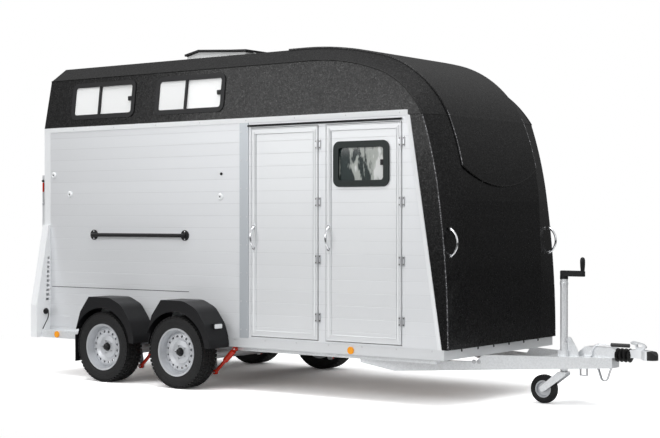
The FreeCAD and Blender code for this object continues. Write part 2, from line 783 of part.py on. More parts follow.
# Raised front panel, lying on the flat of roof and nose.
def visor_solid():
    proud = S.visor_proud
    start = S.roof_start - 150

    def band(lift):
        t = -as_size(lift)
        points = [
            (at(start), roof_top - t),
            (at(S.roof_start), roof_top - t),
            (at(roof_curve[0][0] - t / 3), roof_curve[0][1] - t, VIA),
            (at(roof_curve[1][0] - t / 2), roof_curve[1][1] - t / 1.2),
            (at(roof_curve[2][0] - t / 1.3), roof_curve[2][1] - t / 1.5, VIA),
            (at(roof_curve[3][0] - t), seam_height),
            (at(nose_middle[3][0] - t), nose_middle[3][1], VIA),
            (at(nose_middle[2][0] - t), nose_middle[2][1]),
            (at(start), nose_middle[2][1]),
        ]
        wire = outline_wire(points, lambda z: -S.roof_half.value)
        return Part.Face(wire).extrude(Vector(0, 2 * S.roof_half.value, 0))

    panel = band(proud + S.fit_gap).cut(band(S.fit_gap))
    wide = S.roof_half.value
    x = float(at(start)) - 10
    corner_z = float(seam_height - S.visor_corner)
    edge = Part.Wire([
        Part.Arc(Vector(x, -wide, corner_z), Vector(x, 0, corner_z - S.visor_dip.value),
                 Vector(x, wide, corner_z)).toShape(),
        Part.LineSegment(Vector(x, wide, corner_z), Vector(x, wide, float(roof_top) + 100)).toShape(),
        Part.LineSegment(Vector(x, wide, float(roof_top) + 100),
                         Vector(x, -wide, float(roof_top) + 100)).toShape(),
        Part.LineSegment(Vector(x, -wide, float(roof_top) + 100), Vector(x, -wide, corner_z)).toShape(),
    ])
    return panel.common(Part.Face(edge).extrude(Vector(3000, 0, 0)))


node("nose_panel", feature("nose_panel", visor_solid()))

# Side windows: rubber frames set in the leaning roof side, each with a sliding pair of panes.
def side_plane_y(height):
    """Half width of the roof's side at one height."""
    lean = (half.value - S.crease_half.value) / (float(crease_height) - S.rail_top.value)
    return half.value - lean * (float(height) - S.rail_top.value)


def tilted_box(xs, zs, outward, inward, sign):
    """A block standing in the roof's side, between two depths from its skin."""
    low, high = float(zs[0]), float(zs[1])
    rows = []
    for depth in (outward, -inward):
        for z in (low, high):
            rows.append((sign * (side_plane_y(z) + depth), z))
    ring = [rows[0], rows[1], rows[3], rows[2], rows[0]]
    wire = Part.makePolygon([Vector(float(xs[0]), y, z) for y, z in ring])
    return Part.Face(wire).extrude(Vector(float(xs[1]) - float(xs[0]), 0, 0))


frames = []
panes = []
for sign in (-1, 1):
    across = (0, half * sign * 1.2)
    for rear, front in window_spans():
        foot = window_bottom
        head = foot + S.window_height
        rim = S.window_frame
        proud = S.window_proud.value
        depth = S.shell_thick.value

        def pane_block(inset, radius, outward, inward):
            bar = rounded_bar((at(rear + inset), at(front - inset)), (foot + inset, head - inset), radius, across)
            slab = tilted_box((at(rear), at(front)), (foot, head), outward, inward, sign)
            return bar.common(slab)

        outer = pane_block(0, S.window_corner, proud, -S.fit_gap.value)
        plug = pane_block(20.3, S.window_corner - 20.3, proud, depth)
        hole = pane_block(rim, S.window_corner - rim, proud + 5, depth + 5)
        divider_at = rear + S.window_length * 0.43
        divider = tilted_box((at(divider_at), at(divider_at + 24)), (foot + rim - 4, head - rim + 4),
                             proud - 1, depth - 1, sign)
        frames.append(outer.fuse(plug).cut(hole).fuse(divider).removeSplitter())
        glass = pane_block(rim + S.fit_gap, S.window_corner - rim - S.fit_gap, 0, depth)
        for start, end, inset in (
            (rear, divider_at - S.fit_gap, 2.0),
            (divider_at + 24 + S.fit_gap, front, 9.0),
        ):
            slab = tilted_box((at(start), at(end)), (foot, head), -inset, inset + S.glass_thick.value, sign)
            panes.append(glass.common(slab))
node("window_frames", feature("window_frames", Part.makeCompound(frames)))
node("window_panes", feature("window_panes", Part.makeCompound(panes)))

# Roof hatch: a collar round the hole and a lid hung at the collar's front side. Both have the
# same side outline, with low ends and a shoulder at the rear.
hatch_front = S.hatch_rear + S.hatch_length
collar_top = roof_top + S.hatch_rise


def hatch_line(past, lift):
    """The hatch's upper outline from rear to front."""
    base = collar_top + lift
    return [
        (at(S.hatch_rear - past), base),
        (at(S.hatch_rear + 150), base + S.hatch_crown),
        (at(hatch_front - 160), base + S.hatch_crown * 0.25),
        (at(hatch_front + past), base),
    ]


collar_block = prism("hatch_collar_block", "XZ_Plane", -S.hatch_half, S.hatch_half, [
    (at(hatch_front), roof_top + S.fit_gap),
    (at(S.hatch_rear), roof_top + S.fit_gap),
] + hatch_line(0, 0))
collar_space = box("hatch_collar_space", (at(S.hatch_rear + 40), at(hatch_front - 40)),
                   (-S.hatch_half + 40, S.hatch_half - 40), (roof_top - 10, collar_top + S.hatch_crown + 10))
collar = cut("hatch_collar_ring", collar_block, collar_space)
lid_pin_x = at(hatch_front + 34)
lid_pin_z = collar_top - 8
pin_bar = rod("hatch_pin", (lid_pin_x, as_size(-140), lid_pin_z), "y", as_size(280), S.lid_pin)
lid_ears = [
    box(f"hatch_ear_{number}", (at(hatch_front - 5), lid_pin_x + S.lid_pin + 3),
        (as_size(y - 4), as_size(y + 4)), (lid_pin_z - S.lid_pin - 3, lid_pin_z + S.lid_pin + 3))
    for number, y in enumerate((-136, 136), start=1)
]
node("hatch_collar", fuse("hatch_collar", [collar, pin_bar] + lid_ears))
lid_bottom = collar_top + 5
lid_half = S.hatch_half + S.hatch_overlap
lid_plate = prism("hatch_lid_plate", "XZ_Plane", -lid_half, lid_half,
                  hatch_line(S.hatch_overlap, 5) + hatch_line(S.hatch_overlap, S.hatch_lid + 5)[::-1])
arms = []
for number, y in enumerate((-100, 100), start=1):
    arms.append(rod(f"lid_sleeve_{number}", (lid_pin_x, as_size(y - 15), lid_pin_z), "y", as_size(30),
                    S.lid_pin + 4))
    arms.append(box(f"lid_arm_{number}", (at(hatch_front + 5), lid_pin_x + S.lid_pin + 4),
                    (as_size(y - 15), as_size(y + 15)), (lid_pin_z, lid_bottom + 8)))
lid_bore = rod("lid_bore", (lid_pin_x, as_size(-130), lid_pin_z), "y", as_size(260), S.lid_pin + 0.05)
node("hatch_lid", cut("hatch_lid", fuse("hatch_lid_solid", [lid_plate] + arms), lid_bore))


# Doors: leaves with a raised border round their field, hung at their front edges.
def door_leaf(name, rear, front, holes=()):
    outline = [
        (at(rear), S.door_bottom),
        (at(front), S.door_bottom),
        (at(front), door_top),
        (at(rear), door_top),
    ]
    leaf = prism(f"{name}_border", "XZ_Plane", -half - 4, -half + S.door_thick - 4, outline, holes)
    field = box(f"{name}_field", (at(rear + S.door_border), at(front - S.door_border)),
                (-half - 4 - S.door_field, -half - 4 + S.door_field),
                (S.door_bottom + S.door_border, door_top - S.door_border))
    return cut(name, leaf, field)


window_left = S.door_window_rear + S.door_window_frame / 2
window_right = S.door_window_rear + S.door_window_length - S.door_window_frame / 2
window_low = door_window_bottom + S.door_window_frame / 2
window_high = door_window_bottom + S.door_window_height - S.door_window_frame / 2
window_cut = [
    (at(window_left), window_low, 40),
    (at(window_right), window_low, 40),
    (at(window_right), window_high, 40),
    (at(window_left), window_high, 40),
]
node("tack_door_leaf", door_leaf("tack_door_leaf", S.tack_door_rear, S.tack_door_front))
node("front_door_leaf", door_leaf("front_door_leaf", S.front_door_rear, S.front_door_front, [window_cut]))

frame_low = door_window_bottom
frame_high = frame_low + S.door_window_height
frame_left = S.door_window_rear
frame_right = frame_left + S.door_window_length
rim = S.door_window_frame
field_face = -half - 4 + S.door_field
rubber = prism("door_window_rubber", "XZ_Plane", field_face - 14, field_face - S.fit_gap, [
    (at(frame_left), frame_low, 60),
    (at(frame_right), frame_low, 60),
    (at(frame_right), frame_high, 60),
    (at(frame_left), frame_high, 60),
], [[
    (at(frame_left + rim), frame_low + rim, 25),
    (at(frame_right - rim), frame_low + rim, 25),
    (at(frame_right - rim), frame_high - rim, 25),
    (at(frame_left + rim), frame_high - rim, 25),
]])
node("door_window_frame", rubber)
node("door_window_pane", prism("door_window_pane", "XZ_Plane", -half + 6, -half + 6 + S.glass_thick, [
    (at(window_left + 0.3), window_low + 0.3, 40),
    (at(window_right - 0.3), window_low + 0.3, 40),
    (at(window_right - 0.3), window_high - 0.3, 40),
    (at(window_left + 0.3), window_high - 0.3, 40),
]))

# Door hinges: the leaf's plate has two knuckles, the frame's plate one with the pin through all.
# Heights as shares of the leaf.
HINGE_SHARES = [0.105, 0.3755, 0.643, 0.911]
plate_thick = as_size(4)
hinge_y = -half - 4 - S.hinge_knuckle - S.fit_gap


door_face = -half - 4 - S.fit_gap


def hinge_halves(name, edge):
    """Moving and fixed halves of a door's hinges; the knuckles stand over the door's gap."""
    x = at(edge + gap / 2)
    moving = []
    fixed = []
    for number, share in enumerate(HINGE_SHARES, start=1):
        height = S.door_bottom + (door_top - S.door_bottom) * share
        low = height - S.hinge_length / 2
        high = height + S.hinge_length / 2
        third = S.hinge_length / 3
        leaf_plate = box(f"{name}_leaf_{number}", (at(edge - S.hinge_width / 2), x - S.hinge_knuckle - 0.5),
                         (door_face - plate_thick, door_face), (low, high))
        frame_plate = box(f"{name}_frame_{number}", (x + S.hinge_knuckle + 0.5, at(edge + S.hinge_width / 2)),
                          (door_face - plate_thick, -half - S.fit_gap), (low, high))
        knuckles = []
        for part, start, end in (("low", low, low + third - 0.3), ("high", high - third + 0.3, high)):
            knuckle = rod(f"{name}_{part}_{number}", (x, hinge_y, start), "z", end - start, S.hinge_knuckle)
            tab = box(f"{name}_{part}_tab_{number}", (x - S.hinge_knuckle - 1, x),
                      (door_face - plate_thick, door_face), (start, end))
            knuckles += [knuckle, tab]
        bore = rod(f"{name}_bore_{number}", (x, hinge_y, low - 1), "z", high - low + 2, S.hinge_pin + 0.05)
        moving.append(cut(f"{name}_moving_{number}", fuse(f"{name}_solid_{number}", [leaf_plate] + knuckles), bore))
        middle_knuckle = rod(f"{name}_middle_{number}", (x, hinge_y, low + third), "z", third, S.hinge_knuckle)
        middle_tab = box(f"{name}_middle_tab_{number}", (x, x + S.hinge_knuckle + 1),
                         (door_face - plate_thick, door_face), (low + third, low + 2 * third))
        pin = rod(f"{name}_pin_{number}", (x, hinge_y, low), "z", high - low, S.hinge_pin)
        fixed.append(fuse(f"{name}_fixed_{number}", [frame_plate, middle_knuckle, middle_tab, pin]))
    return moving, fixed


tack_moving, tack_fixed = hinge_halves("tack_hinge", S.tack_door_front)
front_moving, front_fixed = hinge_halves("front_hinge", S.front_door_front)
node("tack_door_hinges", group("tack_door_hinges", tack_moving))
node("front_door_hinges", group("front_door_hinges", front_moving))
node("frame_hinges", group("frame_hinges", tack_fixed + front_fixed))


def crescent(name, x, y, z, length, reach, outward, radius):
    """A bent grip with a foot at each end, standing out along a direction, upright."""
    out = Vector(*outward)
    middle_spot = Vector(float(x), float(y), float(z))
    low = middle_spot - Vector(0, 0, float(length) / 2)
    high = middle_spot + Vector(0, 0, float(length) / 2)
    tip = middle_spot + out * float(reach)
    path = Part.Wire([Part.Arc(low, tip, high).toShape()])
    start = path.Edges[0].tangentAt(path.Edges[0].FirstParameter)
    section = Part.Wire([Part.Circle(low, start, float(radius)).toShape()])
    solid = path.makePipeShell([section], True, True)
    for spot in (low, high):
        solid = solid.fuse(Part.makeCylinder(float(radius) + 6, 7, spot, out))
    return solid


def door_handle(name, rear):
    """The crescent on a door's border, cut off flat on its face."""
    grip = crescent(name, at(rear + S.door_border / 2 + 3), door_face, S.door_handle_height,
                    S.door_handle_length, 46, (0, -1, 0), 9)
    behind = cuboid((at(rear - 60), at(rear + 120)), (door_face, door_face + 60),
                    (S.door_handle_height - 200, S.door_handle_height + 200))
    return feature(name, grip.cut(behind))


node("tack_door_handle", door_handle("tack_door_handle", S.tack_door_rear))
node("front_door_handle", door_handle("front_door_handle", S.front_door_rear))

# Cover strips on the posts behind the doors and, to match, on the other side.
strip = box("post_strip", (at(S.mid_post), at(S.mid_post + S.strip_width)),
            (-half - S.strip_thick, -half - S.fit_gap), (sill_top + S.fit_gap, rail_bottom - S.fit_gap))
node("post_strips", both_sides("post_strips", strip))


# Wheels: tyre, pressed rim with a ring of holes, black centre cap.
# Columns: name, station, side.
WHEELS = [
    ("rear_right", S.axle_rear, -1),
    ("rear_left", S.axle_rear, 1),
    ("front_right", S.axle_rear + S.axle_spacing, -1),
    ("front_left", S.axle_rear + S.axle_spacing, 1),
]
wheel_middle = wheel_outer - S.tyre_width / 2
tyre_half = S.tyre_width / 2
rim_half = S.rim_width / 2
tread_half = tyre_half - 18
bead_half = rim_half - 6 - S.fit_gap
tyre_outline = [
    (-bead_half, S.rim_radius - 8),
    (bead_half, S.rim_radius - 8),
    (bead_half, S.rim_radius + 1),
    (tyre_half - 4, S.rim_radius + 18, 14),
    (tyre_half, S.rim_radius + 52, 40),
    (tyre_half - 8, S.wheel_radius - 22, 22),
    (tread_half - 6, S.wheel_radius, 14),
    (-tread_half + 6, S.wheel_radius, 14),
    (-tyre_half + 8, S.wheel_radius - 22, 22),
    (-tyre_half, S.rim_radius + 52, 40),
    (-tyre_half + 4, S.rim_radius + 18, 14),
    (-bead_half, S.rim_radius + 1),
]
# The rim's outer side is at negative Y before a left wheel is turned round.
barrel = S.rim_radius - 26
rim_outline = [
    (-rim_half, S.rim_radius),
    (-rim_half + 6, S.rim_radius),
    (-rim_half + 6, S.rim_radius - 9),
    (-rim_half + 32, barrel + 6),
    (rim_half - 30, barrel),
    (rim_half - 6, S.rim_radius - 9),
    (rim_half - 6, S.rim_radius),
    (rim_half, S.rim_radius),
    (rim_half, S.rim_radius - 16),
    (rim_half - 32, barrel - 8),
    (-12, barrel - 8),
    (-26, S.rim_radius * 0.72),
    (-30, S.rim_radius * 0.60),
    (-14, S.rim_radius * 0.50),
    (-22, S.rim_radius * 0.30),
    (-22, S.hub_hole),
    (-30, S.hub_hole),
    (-31, S.rim_radius * 0.28),
    (-24, S.rim_radius * 0.47),
    (-42, S.rim_radius * 0.60),
    (-38, S.rim_radius * 0.74),
    (-26, barrel - 8),
    (-rim_half + 34, barrel - 2),
    (-rim_half, S.rim_radius - 16),
]
for name, station, side in WHEELS:
    centre = (at(station), wheel_middle * side, S.wheel_radius)
    flip = side > 0
    node(f"tyre_{name}", turned(f"tyre_{name}", tyre_outline, centre, flip))
    rim_body = turned(f"rim_{name}", rim_outline, centre, flip)
    ring_of_holes(rim_body, f"rim_holes_{name}", S.rim_radius * 0.05, S.rim_radius * 0.66, as_size(120), 16)
    ring_of_holes(rim_body, f"rim_bolts_{name}", 7.5, S.bolt_circle / 2, as_size(120), 5)
    node(f"rim_{name}", rim_body)

# Axles: a tube across, an arm back down to each hub, a brake drum and a lug for the damper.
# Columns: piece, inner and outer end from the middle, radius.
HUB = [
    ("stub", half - 58, half + 20, 26),
    ("drum", half + 12, wheel_middle + 6, 118),
    ("hub", wheel_middle + 5, wheel_middle + 22 - S.fit_gap, 60),
    ("spigot", wheel_middle + 20, wheel_middle + 29, S.hub_hole - S.fit_gap),
]
AXLES = [("rear", S.axle_rear), ("front", S.axle_rear + S.axle_spacing)]
axles = []
for name, station in AXLES:
    x = at(station)
    tube = rod(f"axle_tube_{name}", (x + S.arm_reach, -half + 40, axle_z), "y",
               S.body_width - 80, S.axle_tube)
    pieces = [tube]
    for side, label in ((-1, "right"), (1, "left")):
        arm_y = (half - 44) * side
        arm = prism(f"axle_arm_{name}_{label}", "XZ_Plane", arm_y - 14, arm_y + 14, [
            (x - 38, S.wheel_radius - 38, 30),
            (x + S.arm_reach + 40, axle_z - 44, 30),
            (x + S.arm_reach + 40, axle_z + 44, 30),
            (x - 38, S.wheel_radius + 38, 30),
        ])
        lug_y = (damper_y - 20) * side
        lug = prism(f"damper_lug_{name}_{label}", "XZ_Plane", lug_y - 4, lug_y + 4, [
            (x + S.damper_foot - 26, S.damper_low - 22, 18),
            (x + S.damper_foot + 24, S.damper_low - 22, 18),
            (x + S.arm_reach + 60, axle_z - 20),
            (x + S.arm_reach, axle_z - 20),
        ])
        pin_start = (damper_y - 22) * side if side > 0 else -damper_y - 18
        lug_pin = rod(f"damper_low_pin_{name}_{label}", (x + S.damper_foot, pin_start, S.damper_low), "y",
                      as_size(40), S.damper_pin)
        pieces += [arm, lug, lug_pin]
        for part, low, high, radius in HUB:
            start = low if side > 0 else -high
            pieces.append(rod(f"{part}_{name}_{label}", (x, start, S.wheel_radius), "y", high - low, radius))
    axles.append(fuse(f"axle_{name}", pieces))
node("axles", group("axles", axles))

# Shock absorbers: one for each wheel, from the lug on the axle up to the pin on the chassis rail.
dampers = []
for label, station in AXLES:
    low = Vector(float(at(station) + S.damper_foot), -float(damper_y), float(S.damper_low))
    high = Vector(float(at(station) + S.damper_head), -float(damper_y), float(S.damper_high))
    run = (high - low).normalize()
    reach = (high - low).Length
    lower = Part.makeCylinder(15, reach * 0.5, low, run)
    upper = Part.makeCylinder(24, reach * 0.5 - 26, low + run * (reach * 0.5), run)
    neck = Part.makeCylinder(11, 30, high - run * 30, run)
    solid = lower.fuse(upper).fuse(neck)
    for spot in (low, high):
        solid = solid.fuse(Part.makeCylinder(20, 28, spot - Vector(0, 14, 0), Vector(0, 1, 0)))
    for spot in (low, high):
        hole = float(S.damper_pin + S.fit_gap)
        solid = solid.cut(Part.makeCylinder(hole, 60, spot - Vector(0, 30, 0), Vector(0, 1, 0)))
    dampers.append(feature(f"damper_{label}", solid.removeSplitter()))
node("dampers", group("dampers", dampers + [mirrored(f"{d.Name}_left", d) for d in dampers]))


# Mudguards: one over each wheel, a moulding with a sharp rear shoulder and an outer lip.
sill_face = half + S.rail_proud + S.fit_gap


def guard_outline(x, inset, foot):
    top = S.guard_top - inset
    back = S.guard_back - inset
    ahead = S.guard_ahead - inset
    return [
        (x - back, foot),
        (x - back, S.guard_top * 0.528),
        (x - back * 0.775, S.guard_top * 0.819),
        (x - back * 0.456, top),
        (x + ahead * 0.262, top, 150),
        (x + ahead * 0.612, top - 60, 150),
        (x + ahead * 0.875, top - 195, 150),
        (x + ahead, top - 340, 150),
        (x + ahead, foot),
    ]


guards = []
flap_x = at(S.axle_rear - S.guard_back) + 4
flap = box("mud_flap", (flap_x, flap_x + 7), (-guard_outer + 8, -half - 30), (as_size(170), S.guard_foot + 45))
marker_z = S.guard_top - 212
marker_base = box("marker_base", (at(S.axle_rear + S.axle_spacing) + S.guard_ahead * 0.82,
                                  at(S.axle_rear + S.axle_spacing) + S.guard_ahead * 0.93),
                  (-marker_middle - S.marker_width / 2, -marker_middle + S.marker_width / 2),
                  (marker_z - 24, marker_z + 24))
for label, station in AXLES:
    x = at(station)
    outer = prism(f"guard_{label}", "XZ_Plane", -guard_outer, -half - S.fit_gap,
                  guard_outline(x, as_size(0), S.guard_foot))
    inner = prism(f"guard_space_{label}", "XZ_Plane", -guard_outer + S.guard_thick, -half + 50,
                  guard_outline(x, S.guard_thick, S.guard_foot - 60))
    arch = rod(f"guard_arch_{label}", (x, -guard_outer - 20, S.wheel_radius), "y", as_size(60),
               S.wheel_radius + 38)
    sill_space = box(f"guard_sill_space_{label}", (x - S.guard_back - 50, x + S.guard_ahead + 50), (-sill_face, -half + 50),
                     (S.sill_bottom - 10, sill_top + S.fit_gap))
    guard = cut(f"mudguard_{label}", outer, inner, arch, sill_space)
    extra = flap if label == "rear" else marker_base
    guards.append(fuse(f"mudguard_whole_{label}", [guard, extra]))
node("mudguards", group("mudguards", guards + [mirrored(f"{g.Name}_left", g) for g in guards]))

# Rear steps: folded sheet channels on the sills, with a row of teeth along the tread's edge.
step_front = S.axle_rear - S.guard_back - 8
teeth_rear = S.light_depth + 14
teeth = int((float(step_front) - float(teeth_rear)) // float(S.tooth_pitch))
sawtooth = []
for number in range(teeth):
    valley = teeth_rear + S.tooth_pitch * number
    sawtooth.append((at(valley), S.step_top - S.fit_gap))
    sawtooth.append((at(valley + S.tooth_pitch / 2), S.step_top + S.tooth_height))
sawtooth.append((at(teeth_rear + S.tooth_pitch * teeth), S.step_top - S.fit_gap))
apron = prism("step_apron", "XZ_Plane", -step_reach, -step_reach + S.step_sheet, [
    (at(step_front), S.step_bottom),
    (at(as_size(0)), S.step_bottom),
    (at(as_size(0)), S.step_top),
    (at(S.light_depth), S.step_top),
] + sawtooth + [(at(step_front), S.step_top)])
tread = box("step_tread", (at(as_size(0)), at(step_front)), (-step_reach, -sill_face),
            (S.step_top - S.step_sheet, S.step_top))
flange = box("step_flange", (at(as_size(0)), at(step_front)), (-sill_face - S.step_sheet, -sill_face),
             (S.sill_bottom, S.step_top))
node("rear_steps", both_sides("rear_steps", fuse("rear_step", [apron, tread, flange])))

# Round side reflectors: one on each step's apron and one on each sill.
reflectors = [
    rod("step_reflector", (at(as_size(296)), -step_reach - S.fit_gap - S.reflector_thick, S.step_bottom + 33),
        "y", S.reflector_thick, S.reflector_radius),
    rod("sill_reflector", (at(as_size(3573)), -sill_face - S.reflector_thick, S.sill_bottom + 34), "y",
        S.reflector_thick, S.reflector_radius),
]
node("side_reflectors", group("side_reflectors", reflectors + [mirrored(f"{r.Name}_left", r) for r in reflectors]))

# Rear light panels: upright wings beside the ramp that flare out to the lamps, standing on the
# steps, with a column of louvres next to the wall.
wing_outline = [
    (-sill_face, S.step_top + S.fit_gap),
    (-sill_face, sill_top + S.fit_gap),
    (-half - S.fit_gap, sill_top + S.fit_gap),
    (-half - S.fit_gap, S.wing_top),
    (-half - 22, S.wing_top),
    (-light_reach, S.wing_knee, 60),
    (-light_reach, S.step_bottom),
    (-step_reach - S.fit_gap, S.step_bottom),
    (-step_reach - S.fit_gap, S.step_top + S.fit_gap),
]
wing = prism("light_wing", "YZ_Plane", at(as_size(0)), at(S.light_depth), wing_outline)
LOUVRES = 10
louvres = []
for number in range(LOUVRES):
    high = S.wing_knee + 450 - S.louvre_pitch * number
    wide = S.louvre_pitch * 0.56 + 2 * number
    louvres.append(box(f"louvre_{number}", (at(as_size(14)), at(S.light_depth + 5)),
                       (-half - 12 - wide, -half - 12), (high - S.louvre_pitch * 0.56, high)))
node("light_panels", both_sides("light_panels", cut("light_panel", wing, fuse("louvres", louvres))))
lamp_y = half + 88
lamps = [
    rod(f"rear_lamp_{number}", (at(as_size(-22)), -lamp_y, as_size(z)), "x", as_size(21.7), 44)
    for number, z in enumerate((450, 550, 650), start=1)
]
node("rear_lamps", group("rear_lamps", lamps + [mirrored(f"{lamp.Name}_left", lamp) for lamp in lamps]))

# Ramp: a ribbed leaf behind the corner posts, its sleeves turning on a bar at its foot.
ramp_half = half - 20
ramp_back = as_size(0) - S.ramp_reach
ramp_front = ramp_back + S.ramp_thick
ramp_core = box("ramp_core", (at(ramp_back + 8), at(ramp_front)), (-ramp_half, ramp_half),
                (S.ramp_bottom, ramp_top))
RIBS = 5
rib_width = as_size(60)
rib_pitch = (2 * ramp_half - rib_width) / (RIBS - 1)
ribs = [
    box(f"ramp_rib_{number}", (at(ramp_back), at(ramp_back + 9)),
        (-ramp_half + rib_pitch * number, -ramp_half + rib_pitch * number + rib_width),
        (S.ramp_bottom, ramp_top))
    for number in range(RIBS)
]
bar_x = at(ramp_back + S.ramp_thick / 2)
bar_z = S.ramp_bottom - S.ramp_pin - 10
# Columns: middle of a sleeve across the body, half its length.
SLEEVES = [(-620, 70), (0, 70), (620, 70)]
sleeves = []
for number, (y, reach) in enumerate(SLEEVES, start=1):
    sleeve = rod(f"ramp_sleeve_{number}", (bar_x, as_size(y - reach), bar_z), "y", as_size(2 * reach),
                 S.ramp_pin + 6)
    web = box(f"ramp_web_{number}", (bar_x - S.ramp_pin - 6, bar_x + S.ramp_pin + 6),
              (as_size(y - reach), as_size(y + reach)), (bar_z, S.ramp_bottom + 5))
    sleeves += [sleeve, web]
ramp_bore = rod("ramp_bore", (bar_x, -ramp_half, bar_z), "y", 2 * ramp_half, S.ramp_pin + 0.06)
node("ramp", cut("ramp", fuse("ramp_solid", [ramp_core] + ribs + sleeves), ramp_bore))
bar_half = half - 163
hinge_bar = rod("ramp_hinge_rod", (bar_x, -bar_half, bar_z), "y", 2 * bar_half, S.ramp_pin)
ears = [
    box(f"ramp_ear_{number}", (bar_x - S.ramp_pin - 4, at(as_size(60)) - S.fit_gap),
        (y - 8, y + 8), (bar_z - S.ramp_pin - 4, floor_bottom - S.fit_gap))
    for number, y in enumerate((8 - bar_half, -bar_half * 0.42, bar_half * 0.42, bar_half - 8), start=1)
]
node("ramp_hinge_bar", fuse("ramp_hinge_bar", [hinge_bar] + ears))

# Rear blind: a fabric curtain that closes the opening over the ramp.
node("rear_blind", box("rear_blind", (at(as_size(20)), at(as_size(24))),
                       (-half + S.post_depth + S.fit_gap, half - S.post_depth - S.fit_gap),
                       (ramp_top + 20, S.rail_top - 60 - S.fit_gap)))

# Bulkhead between the stalls and the tack room, arched at its top.
bulk_x = S.mid_post + 30
bulkhead = prism("bulkhead", "YZ_Plane", at(bulk_x), at(bulk_x + 30), [
    (-inner_half + S.fit_gap, sill_top + S.fit_gap),
    (inner_half - S.fit_gap, sill_top + S.fit_gap),
    (inner_half - S.fit_gap, rail_bottom - 116, 300),
    (-inner_half + S.fit_gap, rail_bottom - 116, 300),
])
node("bulkhead", bulkhead)
node("stall_divider", prism("stall_divider", "XZ_Plane", -15, 15, [
    (at(as_size(420)), as_size(900), 60),
    (at(bulk_x - 0.3), as_size(900)),
    (at(bulk_x - 0.3), as_size(2050), 120),
    (at(as_size(1700)), as_size(2050), 160),
    (at(as_size(1250)), as_size(1600), 160),
    (at(as_size(420)), as_size(1600), 120),
]))

# Grab rail along the side, on round feet.
bar_y = -half - 62
bar = bent_tube("grab_bar", [
    (at(S.rail_bar_rear), -half - 6, S.rail_bar_height),
    (at(S.rail_bar_rear + 20), bar_y, S.rail_bar_height),
    (at(S.rail_bar_rear + S.rail_bar_length - 20), bar_y, S.rail_bar_height),
    (at(S.rail_bar_rear + S.rail_bar_length), -half - 6, S.rail_bar_height),
], S.rail_bar_radius, 50)
feet = [
    rod(f"grab_foot_{number}", (at(S.rail_bar_rear + shift), -half - 8, S.rail_bar_height), "y", as_size(7.7), 46)
    for number, shift in enumerate((0, S.rail_bar_length), start=1)
]
node("grab_rail", fuse("grab_rail", [bar] + feet))

# Nose handles at the front corners, their feet cut to the nose's own slope.
grip = crescent("nose_grip", at(S.nose_corner - 22), -S.handle_half, S.handle_height, S.handle_length, 62,
                (1, 0, 0), 9)
nose_handle = feature("nose_handle", grip.cut(nose_solid(-S.fit_gap, as_size(0))))
node("nose_handles", both_sides("nose_handles", nose_handle))


# Drawbar: two tapering beams that meet ahead of the nose.
def beam_solid():
    rear = Vector(float(at(S.beam_rear)), -float(S.beam_rear_half), 0)
    front = Vector(float(at(S.beam_front)), -float(S.beam_front_half), 0)
    run = front - rear
    length = run.Length
    run.normalize()
    side = Vector(-run.y, run.x, 0)
    top = S.beam_top.value
    deep = S.beam_deep.value
    shallow = S.beam_shallow.value
    low_top = S.chassis_bottom.value - S.fit_gap.value
    profile = [(0, low_top), (0, low_top - 30), (280, top - deep), (length, top - shallow),
               (length, top), (float(at(S.sill_front)) - rear.x + 140, top),
               (float(at(S.sill_front)) - rear.x + 90, low_top)]
    ring = [rear + run * along + Vector(0, 0, z) for along, z in profile]
    wire = Part.makePolygon(ring + [ring[0]])
    width = S.beam_width.value
    return Part.Face(wire).extrude(side * width)


beam = feature("beam_right", beam_solid())
spread = (S.beam_rear_half - S.beam_front_half) / (S.beam_front - S.beam_rear)
plate_reach = as_size(520)
plate_rear_half = S.beam_front_half + spread * plate_reach - 20
drawbar_plate = prism("drawbar_plate", "XY_Plane", S.beam_top - 10, S.beam_top, [
    (at(S.beam_front), -S.beam_front_half + 10),
    (at(S.beam_front), S.beam_front_half - 10),
    (at(S.beam_front - plate_reach), plate_rear_half),
    (at(S.beam_front - plate_reach), -plate_rear_half),
])
jx = at(S.jockey_station)
jy = -S.jockey_offset
plate_bore = rod("plate_bore", (jx, jy, S.beam_top - 60), "z", as_size(100), S.jockey_tube + S.fit_gap)
end_plate = box("drawbar_end", (at(S.beam_front - 8), at(S.beam_front)),
                (-S.beam_front_half, S.beam_front_half), (S.beam_top - S.beam_shallow, S.beam_top))
node("drawbar", cut("drawbar", fuse("drawbar_solid", [beam, mirrored("beam_left", beam), drawbar_plate,
                                                      end_plate]), plate_bore))

# Overrun housing: a welded box on the drawbar that guides the draw tube.
draw_z = S.coupling_height - 10
housing_rear = S.beam_front - 300
housing_front = S.beam_front + 20
node("overrun_housing", prism("overrun_housing", "XZ_Plane", -45, 45, [
    (at(housing_rear), S.beam_top + S.fit_gap),
    (at(housing_front), S.beam_top + S.fit_gap),
    (at(housing_front), draw_z + 28, 8),
    (at(housing_front - 30), draw_z + 42, 10),
    (at(housing_rear + 60), draw_z + 42, 10),
    (at(housing_rear), draw_z - 8, 6),
]))

# Bellows: a rubber sleeve with round ridges between the housing and the coupling.
RIDGES = 5
bellows_rear = housing_front + S.fit_gap
ridge = S.bellows_length / RIDGES
bellows_outline = [(as_size(0), as_size(0))]
for number in range(RIDGES):
    start = ridge * number
    bellows_outline.append((start, S.bellows_radius - S.bellows_groove))
    bellows_outline.append((start + ridge * 0.3, S.bellows_radius, 3))
    bellows_outline.append((start + ridge * 0.7, S.bellows_radius, 3))
bellows_outline.append((S.bellows_length, S.bellows_radius - S.bellows_groove))
bellows_outline.append((S.bellows_length, as_size(0)))
node("bellows", turned("bellows", bellows_outline, (at(bellows_rear), as_size(0), draw_z), plane="XZ_Plane"))

